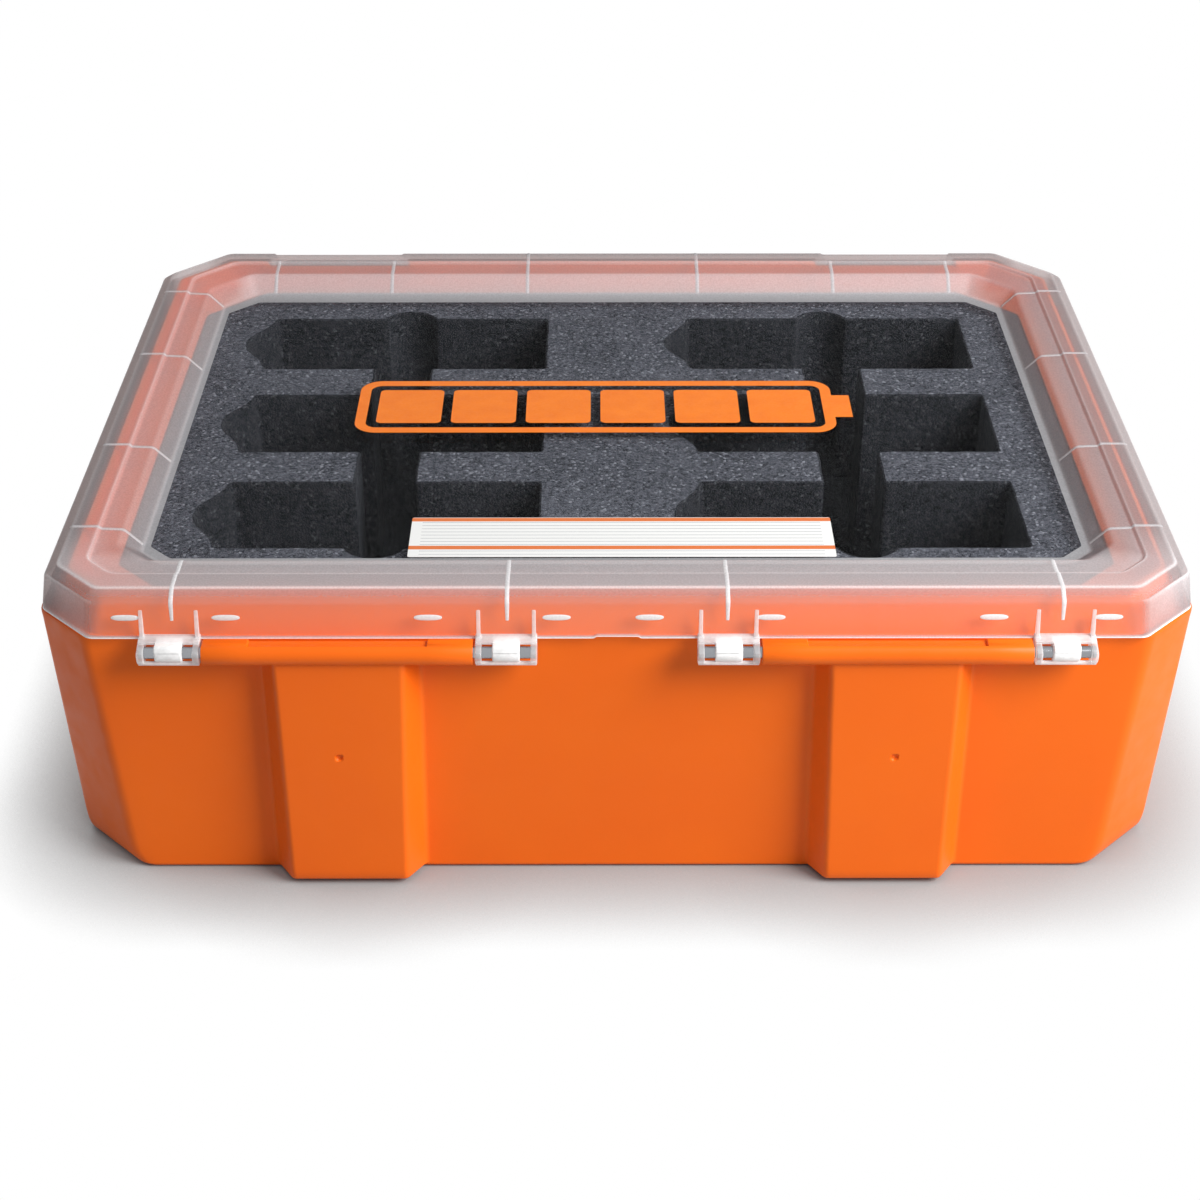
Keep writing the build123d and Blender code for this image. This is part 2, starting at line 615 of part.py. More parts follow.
def handle():
    """Bail handle hanging against the back wall: two arms with bosses and a rounded grip."""
    outer = HANDLE_HALF - HANDLE_LUG - HANDLE_SIDE_GAP
    inner = outer - HANDLE_ARM
    low = HANDLE_Z - HANDLE_LENGTH
    depth = HANDLE_ARM_DEPTH / 2
    grip = Pos(0, HANDLE_Y, low) * Box(2 * outer, GRIP_DEPTH, GRIP_HEIGHT)
    grip = fillet(grip.edges().filter_by(Axis.X), GRIP_ROUND)
    arm = block(inner, outer, HANDLE_Y - depth, HANDLE_Y + depth, low, HANDLE_Z)
    boss = rod(inner, outer, HANDLE_Y, HANDLE_Z, HANDLE_BOSS_RADIUS)
    bore = rod(inner - 1, outer + 1, HANDLE_Y, HANDLE_Z, HANDLE_PIN_RADIUS + PIN_CLEARANCE)
    return grip + both_sides(arm) + both_sides(boss) - both_sides(bore)


def handle_pin():
    """Steel pin of the handle's right arm, held in the base's lugs."""
    inner = HANDLE_HALF - 2 * HANDLE_LUG - HANDLE_ARM - 2 * HANDLE_SIDE_GAP
    return rod(inner, HANDLE_HALF, HANDLE_Y, HANDLE_Z, HANDLE_PIN_RADIUS)


def lid_emblem():
    """Plain print on the window: a battery outline with a row of charge cells."""
    cx, cy = EMBLEM_CENTRE
    body_length = EMBLEM_LENGTH - EMBLEM_TERMINAL
    left = cx - EMBLEM_LENGTH / 2
    body_x = left + body_length / 2
    line = EMBLEM_LINE
    frame = RectangleRounded(body_length, EMBLEM_HEIGHT, 2 * line)
    frame = frame - RectangleRounded(body_length - 2 * line, EMBLEM_HEIGHT - 2 * line, line)
    flat = Pos(body_x, cy) * frame
    terminal_x = left + body_length + EMBLEM_TERMINAL / 2 - 0.5
    flat = flat + Pos(terminal_x, cy) * Rectangle(EMBLEM_TERMINAL + 1, EMBLEM_HEIGHT * 0.42)
    room = body_length - 2 * line - EMBLEM_GAP
    pitch = room / EMBLEM_CELLS
    for index in range(EMBLEM_CELLS):
        x = left + line + EMBLEM_GAP + pitch * (index + 0.5) - EMBLEM_GAP / 2
        cell = RectangleRounded(pitch - EMBLEM_GAP, EMBLEM_HEIGHT - 2 * line - 2 * EMBLEM_GAP, line / 2)
        flat = flat + Pos(x, cy) * cell
    return extrude(Pos(0, 0, WINDOW_Z) * flat, PRINT_THICKNESS)


def lid_label():
    """Blank write-on label at the front of the window."""
    y = -(LID_WIDTH / 2) + LABEL_FRONT_EDGE + LABEL_WIDTH / 2
    sheet = Pos(LABEL_OFFSET_X, y, WINDOW_Z) * RectangleRounded(LABEL_LENGTH, LABEL_WIDTH, 1.0)
    return extrude(sheet, PRINT_THICKNESS)


def write(name, shape):
    """One file for one node."""
    export_step(shape, "parts/" + name + ".step")


def write_pair(name, shape):
    """The right-hand piece and its mirror image, as two nodes."""
    right, left = both_sides(shape)
    write(name + "_right", right)
    write(name + "_left", left)


os.makedirs("parts", exist_ok=True)
write("base_shell", base_shell())
write("lid_shell", lid_shell())
write("foam_pocket_layer", foam_pocket_layer())
write("foam_base_pad", foam_base_pad())
write_pair("hinge_rod", hinge_rod())
write_pair("latch", latch())
write_pair("latch_pin", latch_pin())
write("handle", handle())
write_pair("handle_pin", handle_pin())
write("lid_emblem", lid_emblem())
write("lid_label", lid_label())
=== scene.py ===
"""Looks of a battery carrying case: moulded orange base, clear lid with a frosted rim, foam, latches and handle.

Sizes are in millimetres in the case's own frame: X along the case, Y from the hinge side to the handle side,
Z up from the floor. Meshes are scaled to metres when they are built.
"""

import logging
import math
from collections.abc import Sequence
from dataclasses import dataclass
from enum import Enum

import bpy
import numpy as np
from mathutils import Euler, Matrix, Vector
from mathutils.geometry import tessellate_polygon
from numpy.typing import NDArray

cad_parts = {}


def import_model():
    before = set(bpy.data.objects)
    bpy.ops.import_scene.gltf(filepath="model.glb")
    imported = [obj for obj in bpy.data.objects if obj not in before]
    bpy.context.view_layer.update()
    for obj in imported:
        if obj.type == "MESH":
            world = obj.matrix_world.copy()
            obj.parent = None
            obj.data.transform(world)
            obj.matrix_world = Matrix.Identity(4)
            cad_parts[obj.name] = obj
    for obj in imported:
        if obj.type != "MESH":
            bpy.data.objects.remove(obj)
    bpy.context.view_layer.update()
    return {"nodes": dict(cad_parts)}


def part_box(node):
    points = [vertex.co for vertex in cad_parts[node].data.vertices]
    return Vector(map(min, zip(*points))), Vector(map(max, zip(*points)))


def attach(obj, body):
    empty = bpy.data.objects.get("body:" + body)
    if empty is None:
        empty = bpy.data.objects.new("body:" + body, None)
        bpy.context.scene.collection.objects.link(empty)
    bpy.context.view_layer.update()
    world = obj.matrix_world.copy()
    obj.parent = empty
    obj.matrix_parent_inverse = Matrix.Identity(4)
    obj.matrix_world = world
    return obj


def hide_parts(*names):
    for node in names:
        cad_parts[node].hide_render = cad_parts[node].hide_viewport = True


Points = NDArray[np.float64]

MM = 0.001
LOG = logging.getLogger("carrying_case")

# Columns of a level: inset along X, inset along Y, height, front corner cut, back corner cut, corner radius
INSET_X, INSET_Y, HEIGHT, FRONT, BACK, ROUND = range(6)
# How much a 45 degree corner cut shrinks for each millimetre that its outline is offset inwards
SHRINK = 2 - math.sqrt(2)
# X past which the columns of a long side spread to the corner, and the shares of what is left at which they stand
KNEE = 199.0
SPREAD = KNEE + np.array([0.25, 0.5, 0.75])
# Share of the way that a wall is drawn in to a plane, so that its stacked rows never fall on each other
DRAWN = 0.97
# Angle in degrees past which an edge stays sharp
CREASE = 38.0


class Slot(Enum):
    """Material slots of the record, named after the pieces' finishes."""

    ORANGE = "orange_plastic"
    CLEAR = "clear_plastic"
    BLACK = "black_plastic"
    STEEL = "steel"
    FOAM = "charcoal_foam"
    PRINT = "orange_print"
    LABEL = "white_label"


class Body(Enum):
    """Bodies of the frame that the pieces move with."""

    BASE = "base"
    LID = "lid"
    LEFT_LATCH = "left_latch"
    RIGHT_LATCH = "right_latch"
    HANDLE = "handle"


def rounded(corners: Points, radii: Sequence[float], steps: int, closed: bool, axes: tuple[int, int]) -> Points:
    """Rounds the corners of a path: each corner gives way to a parabola that leaves and meets its two sides.

    Args:
        corners: One row per corner; every column is carried along, whatever it stands for.
        radii: How far from each corner its curve starts, at most just under half of either side.
        steps: Points on each curve.
        closed: True if the last corner joins the first; otherwise the two ends stay as they are.
        axes: The two columns that distances are measured in.

    Returns:
        The rounded path, with the same columns.
    """
    before, after = np.roll(corners, 1, axis=0), np.roll(corners, -1, axis=0)
    reach = np.asarray(radii, float)[:, None]

    def share(other: Points) -> Points:
        """Share of a side that the curve takes."""
        side = np.linalg.norm((other - corners)[:, axes], axis=1, keepdims=True)
        return np.minimum(reach / np.maximum(side, 1e-9), 0.48)

    start = corners + (before - corners) * share(before)
    end = corners + (after - corners) * share(after)
    t = np.linspace(0, 1, steps)[None, :, None]
    curve = (1 - t) ** 2 * start[:, None] + 2 * t * (1 - t) * corners[:, None] + t**2 * end[:, None]
    if closed:
        return curve.reshape(-1, corners.shape[1])
    inner = curve[1:-1].reshape(-1, corners.shape[1])
    return np.vstack([corners[:1], inner, corners[-1:]])


def arc(centre: tuple[float, float], radius: float, start: float, end: float, count: int) -> Points:
    """Points on an arc, by the cosine and sine of evenly spaced angles.

    Args:
        centre: The arc's centre.
        radius: The arc's radius.
        start: First angle in degrees.
        end: Last angle in degrees.
        count: Number of points.

    Returns:
        Array of points, two columns.
    """
    angle = np.radians(np.linspace(start, end, count))
    return np.stack([centre[0] + radius * np.cos(angle), centre[1] + radius * np.sin(angle)], axis=1)


def shouldered(path: Points, axes: tuple[int, int]) -> Points:
    """Adds points near both ends of each long side of a path, so that a change at a corner stays there.

    Args:
        path: One row per point; every column is carried along.
        axes: The two columns that distances are measured in.

    Returns:
        The path with the added points.
    """
    parts = []
    for start, end in zip(path[:-1], path[1:], strict=True):
        length = float(np.linalg.norm((end - start)[list(axes)]))
        near = np.array([0.5, 1.1, 1.9]) / length
        at = np.concatenate([[0.0], near, 1 - near[::-1]]) if length > 5 else np.zeros(1)
        parts.append(start + at[:, None] * (end - start))
    return np.vstack([*parts, path[-1:]])


def outward(section: Points) -> Points:
    """Normals of a closed outline: the mean of its two sides' normals, lengthened so that an offset by them keeps
    the sides parallel.

    Args:
        section: Counter-clockwise outline, two columns.

    Returns:
        One outward vector for each point.
    """
    along = np.roll(section, -1, axis=0) - section
    along /= np.maximum(np.linalg.norm(along, axis=1, keepdims=True), 1e-9)
    side = np.stack([along[:, 1], -along[:, 0]], axis=1)
    mean = side + np.roll(side, 1, axis=0)
    mean /= np.maximum(np.linalg.norm(mean, axis=1, keepdims=True), 1e-9)
    return mean / np.maximum((mean * side).sum(axis=1, keepdims=True), 0.5)


def soft_min(a: Points, b: Points | float, blend: float) -> Points:
    """The lower of two values, with their crossing rounded over a span of blend."""
    return np.minimum(a, b) - np.maximum(blend - np.abs(a - b), 0) ** 2 / (4 * blend)


def soft_max(a: Points, b: Points | float, blend: float) -> Points:
    """The higher of two values, with their crossing rounded over a span of blend."""
    return np.maximum(a, b) + np.maximum(blend - np.abs(a - b), 0) ** 2 / (4 * blend)


def ease(value: Points, low: float, high: float) -> Points:
    """Goes from 0 at low to 1 at high along a cubic with level ends."""
    t = np.clip((value - low) / (high - low), 0, 1)
    return t * t * (3 - 2 * t)


def signed_power(value: Points, power: float) -> Points:
    """The value's size to a power, with the value's own sign, as a superellipse takes it."""
    return np.sign(value) * np.abs(value) ** power


def standing(x: Points, sections: Points) -> Points:
    """Points of a row of sections in Y and Z, each at its own X."""
    return np.concatenate([np.broadcast_to(x[:, None, None], (*sections.shape[:2], 1)), sections], axis=2)


def stacked(outlines: Points, z: Points) -> Points:
    """Points of a stack of outlines in X and Y, each at its own height."""
    return np.concatenate([outlines, np.broadcast_to(z[:, None, None], (*outlines.shape[:2], 1))], axis=2)


def mirrored(places: Points) -> Points:
    """The places together with their mirror images, sorted and with no two the same."""
    return np.unique(np.round(np.concatenate([-places, places]), 4))


class Skin:
    """A mesh under construction: grids of quads and flat caps, each with its finish and its haze."""

    def __init__(self) -> None:
        """Starts empty."""
        self.points: list[Points] = []
        self.faces: list[list[int]] = []
        self.finishes: list[int] = []
        self.haze: list[Points] = []
        self.size = 0

    def grid(
        self,
        points: Points,
        caps: tuple[bool, bool] = (False, False),
        finish: int | Points = 0,
        haze: float | Points = 0.0,
    ) -> None:
        """Adds a surface over a grid of points whose last column joins the first. It faces the side from which
        the columns run counter-clockwise as the rows come nearer.

        Args:
            points: Rows by columns by three coordinates, in millimetres.
            caps: Whether the first and the last row are closed by a flat face.
            finish: Index of the finish, one for all or one for each gap between rows.
            haze: How milky the surface is, one value for all or one for each row or each point.
        """
        rows, columns, _ = points.shape
        index = self.size + np.arange(rows * columns).reshape(rows, columns)
        far = np.roll(index, -1, axis=1)
        quads = np.stack([index[:-1], far[:-1], far[1:], index[1:]], axis=-1)
        which = np.broadcast_to(np.asarray(finish, int).reshape(-1, 1), quads.shape[:2])
        self.faces += quads.reshape(-1, 4).tolist()
        self.finishes += which.ravel().tolist()
        for wanted, row, gap in ((caps[0], index[0][::-1], 0), (caps[1], index[-1], -1)):
            if wanted:
                self.faces.append(row.tolist())
                self.finishes.append(int(which[gap, 0]))
        self.points.append(points.reshape(-1, 3))
        milk = np.asarray(haze, float)
        milk = milk if milk.ndim == 2 else milk.reshape(-1, 1)
        self.haze.append(np.broadcast_to(milk, (rows, columns)).ravel())
        self.size += rows * columns

    def polygons(self, points: Points, triangles: NDArray[np.int64]) -> None:
        """Adds a flat patch in the first finish.

        Args:
            points: Its points, three columns in millimetres.
            triangles: Indices of the points, three to a row.
        """
        self.faces += (triangles + self.size).tolist()
        self.finishes += [0] * len(triangles)
        self.points.append(points)
        self.haze.append(np.zeros(len(points)))
        self.size += len(points)

    def bar(
        self,
        section: Points,
        start: float,
        end: float,
        edge: float = 0.6,
        haze: float = 0.0,
        steps: int = 3,
    ) -> None:
        """Adds a solid bar along X: a closed section carried along X, drawn in along a quarter circle at both ends.

        Args:
            section: Counter-clockwise outline of (y, z) points, as seen from +X.
            start: Lower X.
            end: Higher X.
            edge: Radius of the rounding round both end faces.
            haze: How milky the surface is.
            steps: Rows on each rounding.
        """
        angle = np.linspace(0, math.pi / 2, steps + 1)
        inset, ahead = edge * (1 - np.sin(angle)), edge * (1 - np.cos(angle))
        draw = np.concatenate([inset, inset[::-1]])
        x = np.concatenate([start + ahead, (end - ahead)[::-1]])
        flat = section[None] - draw[:, None, None] * outward(section)[None]
        self.grid(standing(x, flat), caps=(True, True), haze=haze)

    def dome(self, centre: Points, across: Points, up: Points, out: Points, flatness: float, haze: float) -> None:
        """Adds a low raised pad: rings that shrink towards the middle while they rise by a superellipse.

        Args:
            centre: Middle of the pad's foot.
            across: Half of its length, as a vector.
            up: Half of its width, as a vector.
            out: Its height, as a vector.
            flatness: Exponent of the rise; higher is flatter on top.
            haze: How milky it is.
        """
        turn = np.linspace(0, 2 * math.pi, 24, endpoint=False)
        share = np.array([1.0, 0.97, 0.88, 0.7, 0.4, 0.1])
        rise = (1 - share**flatness) ** (1 / flatness)
        c, s = signed_power(np.cos(turn), 0.7), signed_power(np.sin(turn), 0.9)
        flat = share[:, None, None] * (c[None, :, None] * across + s[None, :, None] * up)
        points = centre + flat + rise[:, None, None] * out
        below = points[:1] - 0.35 * out
        self.grid(np.concatenate([below, points]), caps=(True, True), haze=haze)

    def build(self, name: str, materials: Sequence[bpy.types.Material], crease: float = CREASE) -> bpy.types.Object:
        """Makes the mesh object.

        Args:
            name: Name of the piece.
            materials: Its materials, in the order of the finish indices.
            crease: Angle in degrees past which an edge stays sharp.

        Returns:
            The new object, at the origin.
        """
        mesh = bpy.data.meshes.new(name)
        mesh.from_pydata((np.concatenate(self.points) * MM).tolist(), [], self.faces)
        for material in materials:
            mesh.materials.append(material)
        mesh.polygons.foreach_set("material_index", self.finishes)
        mesh.polygons.foreach_set("use_smooth", [True] * len(mesh.polygons))
        haze = mesh.attributes.new("haze", "FLOAT", "POINT")
        haze.data.foreach_set("value", np.concatenate(self.haze).astype(np.float32))
        mesh.set_sharp_from_angle(angle=math.radians(crease))
        mesh.update()
        piece = bpy.data.objects.new(name, mesh)
        bpy.context.scene.collection.objects.link(piece)
        return piece


class Nodes:
    """Short way to write a node tree."""

    def __init__(self, tree: bpy.types.NodeTree, output: str) -> None:
        """Empties the tree and adds its output node.

        Args:
            tree: The tree of a material or a world.
            output: Blender's name of the output node.
        """
        tree.nodes.clear()
        self.tree = tree
        self.output = tree.nodes.new(output)

    def put(self, value: object, socket: bpy.types.NodeSocket) -> None:
        """Links a socket to an input, or sets the input to a value."""
        if isinstance(value, bpy.types.NodeSocket):
            self.tree.links.new(value, socket)
        else:
            socket.default_value = value

    def node(self, kind: str, **inputs: object) -> bpy.types.Node:
        """Adds a node.

        Args:
            kind: Blender's name of the node.
            **inputs: Values or sockets by input name, with spaces written as underscores; a name that is no
                input is set on the node itself.

        Returns:
            The node.
        """
        made = self.tree.nodes.new(kind)
        for key, value in inputs.items():
            label = key.replace("_", " ")
            if label in made.inputs:
                self.put(value, made.inputs[label])
            else:
                setattr(made, key, value)
        return made

    def between(
        self, source: bpy.types.NodeSocket, low: float, high: float, to: tuple[float, float] = (0.0, 1.0)
    ) -> bpy.types.NodeSocket:
        """Carries a value from one span to another along a straight line, and holds it at the ends.

        Args:
            source: The value.
            low: Start of its span.
            high: End of its span.
            to: The two ends of the new span.

        Returns:
            The carried value.
        """
        node = self.node("ShaderNodeMapRange", Value=source, From_Min=low, From_Max=high, To_Min=to[0], To_Max=to[1])
        return node.outputs[0]

    def calc(self, operation: str, first: object, second: object = 0.0) -> bpy.types.NodeSocket:
        """One step of arithmetic.

        Args:
            operation: Blender's name of the operation.
            first: A value or a socket.
            second: A value or a socket.

        Returns:
            The result.
        """
        node = self.node("ShaderNodeMath", operation=operation)
        self.put(first, node.inputs[0])
        self.put(second, node.inputs[1])
        return node.outputs[0]

    def blend(self, share: bpy.types.NodeSocket, first: object, second: object) -> bpy.types.NodeSocket:
        """Mixes two colours.

        Args:
            share: How much of the second one shows.
            first: A colour or a socket.
            second: A colour or a socket.

        Returns:
            The mixed colour.
        """
        node = self.node("ShaderNodeMix", data_type="RGBA")
        self.tree.links.new(share, node.inputs["Factor"])
        self.put(first, node.inputs[6])
        self.put(second, node.inputs[7])
        return node.outputs[2]

    def layered(self, share: object, first: bpy.types.Node, second: bpy.types.Node) -> bpy.types.Node:
        """Mixes two surfaces.

        Args:
            share: How much of the second one shows, as a value or a socket.
            first: A node whose first output is a surface.
            second: Another such node.

        Returns:
            The mixing node.
        """
        node = self.node("ShaderNodeMixShader", Fac=share)
        self.tree.links.new(first.outputs[0], node.inputs[1])
        self.tree.links.new(second.outputs[0], node.inputs[2])
        return node

    def seen(self) -> bpy.types.NodeSocket:
        """Tells what is looked at, straight or by way of metal or glass, from what only sends light.

        Returns:
            1 where it is looked at, and else 0.
        """
        path = self.node("ShaderNodeLightPath").outputs
        straight = self.calc("ADD", path["Is Camera Ray"], path["Is Glossy Ray"])
        return self.node("ShaderNodeClamp", Value=self.calc("ADD", straight, path["Is Transmission Ray"])).outputs[0]

    def join(self, surface: bpy.types.Node) -> None:
        """Joins a surface to the output."""
        self.tree.links.new(surface.outputs[0], self.output.inputs["Surface"])


class Shader(Nodes):
    """A material's nodes, with patterns that follow the object's own coordinates."""

    def __init__(self, name: str) -> None:
        """Makes a material that has only its output and its coordinates.

        Args:
            name: Name of the material.
        """
        self.material = bpy.data.materials.new(name)
        self.material.use_nodes = True
        super().__init__(self.material.node_tree, "ShaderNodeOutputMaterial")
        self.place = self.node("ShaderNodeTexCoord").outputs["Object"]

    def noise(self, size: float, detail: float = 2.0, roughness: float = 0.5) -> bpy.types.NodeSocket:
        """Noise from 0 to 1 over the object's own coordinates, nearly all of it between 0.3 and 0.7.

        Args:
            size: Size of its grains in millimetres.
            detail: Number of finer layers.
            roughness: How strong the finer layers are.

        Returns:
            The noise.
        """
        scale = 1 / (size * MM)
        node = self.node("ShaderNodeTexNoise", Vector=self.place, Scale=scale, Detail=detail, Roughness=roughness)
        return node.outputs["Fac"]

    def bump(self, height: bpy.types.NodeSocket, depth: float) -> bpy.types.NodeSocket:
        """Normal of a relief of that depth in millimetres."""
        return self.node("ShaderNodeBump", Height=height, Strength=1.0, Distance=depth * MM).outputs[0]

    def finish(self, surface: bpy.types.Node) -> bpy.types.Material:
        """Joins the surface to the output and returns the material."""
        self.join(surface)
        return self.material


def srgb(red: int, green: int, blue: int) -> tuple[float, float, float, float]:
    """Linear colour with full alpha from 8-bit screen values.

    Args:
        red: Red, 0 to 255.
        green: Green, 0 to 255.
        blue: Blue, 0 to 255.

    Returns:
        Red, green, blue and alpha, 0 to 1.
    """
    parts = [c / 255 for c in (red, green, blue)]
    linear = [c / 12.92 if c <= 0.04045 else ((c + 0.055) / 1.055) ** 2.4 for c in parts]
    return (*linear, 1.0)


@dataclass(frozen=True)
class MouldedPlastic:
    """Opaque moulded plastic: fine etched grain, faint colour flow and uneven gloss."""

    name: str
    colour: tuple[float, float, float, float]
    flow_colour: tuple[float, float, float, float]
    roughness: tuple[float, float] = (0.38, 0.5)
    grain: float = 0.45
    grain_depth: float = 0.012
    flow: float = 60.0
    specular: float = 0.25

    def material(self) -> bpy.types.Material:
        """Builds the material.

        Returns:
            The material.
        """
        s = Shader(self.name)
        flow = s.between(s.noise(self.flow, 3), 0.35, 0.65)
        colour = s.blend(flow, self.colour, self.flow_colour)
        rough = s.between(s.noise(self.flow / 6, 3), 0.3, 0.7, self.roughness)
        relief = s.calc("ADD", s.noise(self.grain, 2), s.calc("MULTIPLY", s.noise(self.grain * 5), 0.6))
        surface = s.node(
            "ShaderNodeBsdfPrincipled",
            Base_Color=colour,
            Roughness=rough,
            Specular_IOR_Level=self.specular,
            Normal=s.bump(relief, self.grain_depth),
        )
        return s.finish(surface)


@dataclass(frozen=True)
class FrostedPlastic:
    """Clear plastic with an etched face: it lets light through by one part less its haze, which the mesh holds,
    and the hazier it is, the more it dims what is behind it, a painted shade under the frosted parts. Its haziest
    parts, edges and pads, are white: a painted highlight on the edges, and partly frost, partly a painted
    highlight on the pads. What is seen through its side and back flanges is darker in tone, also a painted shade.

    Attributes:
        name: Name of the material.
        colour: Colour of the milky body.
        clear: Tint of what is seen through the clearest parts.
        through: Tint of what is seen through the hazier parts.
        flange_shade: Tint of what is seen through the flanges.
        white: Colour of the haziest parts.
        roughness: Roughness of the body's gloss.
        grain: Size of the etched grain.
        grain_depth: Depth of the etched grain.
        tinted: Span of haze over which the tint goes from clear to through.
        whitened: Span of haze over which the body turns white.
        flange_x: Span of X over which the side flanges begin.
        flange_y: Span of Y over which the back flange begins.
        flange_start: Span of Y over which the side flanges begin behind the front corners.
        speckle: How much the grain thins or thickens the milk.
        glow: How much of the light passes the milk from behind.
        edge_highlight_gain: Milk that is added where the face turns away, a painted highlight like the bright edges
            of thick clear plastic.
    """

    name: str = "frosted_plastic"
    colour: tuple[float, float, float, float] = (0.85, 0.85, 0.87, 1.0)
    clear: tuple[float, float, float, float] = (0.97, 0.97, 0.975, 1.0)
    through: tuple[float, float, float, float] = (0.76, 0.73, 0.72, 1.0)
    flange_shade: tuple[float, float, float, float] = (0.42, 0.33, 0.31, 1.0)
    white: tuple[float, float, float, float] = (0.98, 0.97, 0.96, 1.0)
    roughness: float = 0.36
    grain: float = 0.8
    grain_depth: float = 0.012
    tinted: tuple[float, float] = (0.16, 0.34)
    whitened: tuple[float, float] = (0.66, 0.86)
    flange_x: tuple[float, float] = (246.0, 250.0)
    flange_y: tuple[float, float] = (180.0, 184.0)
    flange_start: tuple[float, float] = (-172.0, -166.0)
    speckle: float = 0.08
    glow: float = 0.36
    edge_highlight_gain: float = 0.0

    def flange(self, s: Shader) -> bpy.types.NodeSocket:
        """Where the flanges are, whose darker tint paints shade: 1 on the back one and, behind the front corners, on
        the two side ones.

        Args:
            s: The material's nodes.

        Returns:
            0 to 1.
        """
        at = s.node("ShaderNodeSeparateXYZ", Vector=s.place).outputs
        spans = ((s.calc("ABSOLUTE", at[0]), self.flange_x), (at[1], self.flange_y), (at[1], self.flange_start))
        side, back, behind = (s.between(where, low * MM, high * MM) for where, (low, high) in spans)
        return s.calc("MAXIMUM", back, s.calc("MULTIPLY", side, behind))

    def material(self) -> bpy.types.Material:
        """Builds the material: milky body and gloss over a hole whose share is one less the haze.

        Returns:
            The material.
        """
        s = Shader(self.name)
        haze = s.node("ShaderNodeAttribute", attribute_name="haze").outputs["Fac"]
        speckle = s.between(s.noise(self.grain, 2), 0.35, 0.65, (1 - self.speckle, 1 + self.speckle))
        solid = s.calc("MULTIPLY", haze, speckle)
        # Painted highlight: milk added where the face turns away brightens the edges
        if self.edge_highlight_gain:
            facing = s.node("ShaderNodeLayerWeight", Blend=0.5).outputs["Facing"]
            edge = s.calc("MULTIPLY", s.calc("POWER", facing, 2.0), self.edge_highlight_gain)
            solid = s.calc("ADD", solid, edge)
        share = s.node("ShaderNodeClamp", Value=solid).outputs[0]
        normal = s.bump(s.noise(self.grain, 3), self.grain_depth)
        # Haziest parts turn white: a painted highlight on the edges, partly frost and partly a painted highlight on
        # pads, ribs and hooks
        white = s.between(haze, *self.whitened)
        body = s.node(
            "ShaderNodeBsdfPrincipled",
            Base_Color=s.blend(white, self.colour, self.white),
            Roughness=self.roughness,
            Specular_IOR_Level=0.5,
            Normal=normal,
        )
        glow = s.node("ShaderNodeBsdfTranslucent", Color=self.colour, Normal=normal)
        milk = s.layered(s.between(white, 0.0, 1.0, (self.glow, 0.0)), body, glow)
        # Painted shade: the hazier the part, the darker the tint of what is seen through it
        tint = s.blend(s.between(haze, *self.tinted), self.clear, self.through)
        # Painted shade: what is seen through the flanges takes a darker tint still
        hole = s.node("ShaderNodeBsdfTransparent", Color=s.blend(self.flange(s), tint, self.flange_shade))
        return s.finish(s.layered(share, hole, milk))


@dataclass(frozen=True)
class ClearPane:
    """Polished clear window: nearly all light passes, with a little gloss and a trace of scuffing."""

    name: str = "clear_pane"
    tint: tuple[float, float, float, float] = (0.965, 0.975, 0.985, 1)
    milk: tuple[float, float, float, float] = (0.8, 0.85, 0.9, 1)
    roughness: float = 0.06
    gloss: float = 0.006
    scuff: float = 0.006

    def material(self) -> bpy.types.Material:
        """Builds the material: a hole with a faint mirror and fainter milk.

        Returns:
            The material.
        """
        s = Shader(self.name)
        scuffs = s.between(s.noise(14, 4, 0.7), 0.45, 0.8, (0.0, self.scuff))
        hole = s.node("ShaderNodeBsdfTransparent", Color=self.tint)
        mirror = s.node("ShaderNodeBsdfGlossy", Roughness=self.roughness)
        milk = s.node("ShaderNodeBsdfDiffuse", Color=self.milk)
        return s.finish(s.layered(scuffs, s.layered(self.gloss, hole, mirror), milk))


@dataclass(frozen=True)
class Chrome:
    """Bright plated steel of the pins, with fine drawn lines round the rod."""

    name: str = "plated_steel"
    colour: tuple[float, float, float, float] = (0.32, 0.33, 0.35, 1)
    roughness: tuple[float, float] = (0.12, 0.26)
    line_scale: tuple[float, float, float] = (9000, 400, 400)
    line_depth: float = 0.004

    def material(self) -> bpy.types.Material:
        """Builds the material.

        Returns:
            The material.
        """
        s = Shader(self.name)
        narrow = s.node("ShaderNodeMapping", Vector=s.place, Scale=self.line_scale)
        lines = s.node("ShaderNodeTexNoise", Vector=narrow.outputs[0], Scale=1.0).outputs["Fac"]
        surface = s.node(
            "ShaderNodeBsdfPrincipled",
            Base_Color=self.colour,
            Metallic=1.0,
            Roughness=s.between(lines, 0.3, 0.7, self.roughness),
            Normal=s.bump(lines, self.line_depth),
        )
        return s.finish(surface)


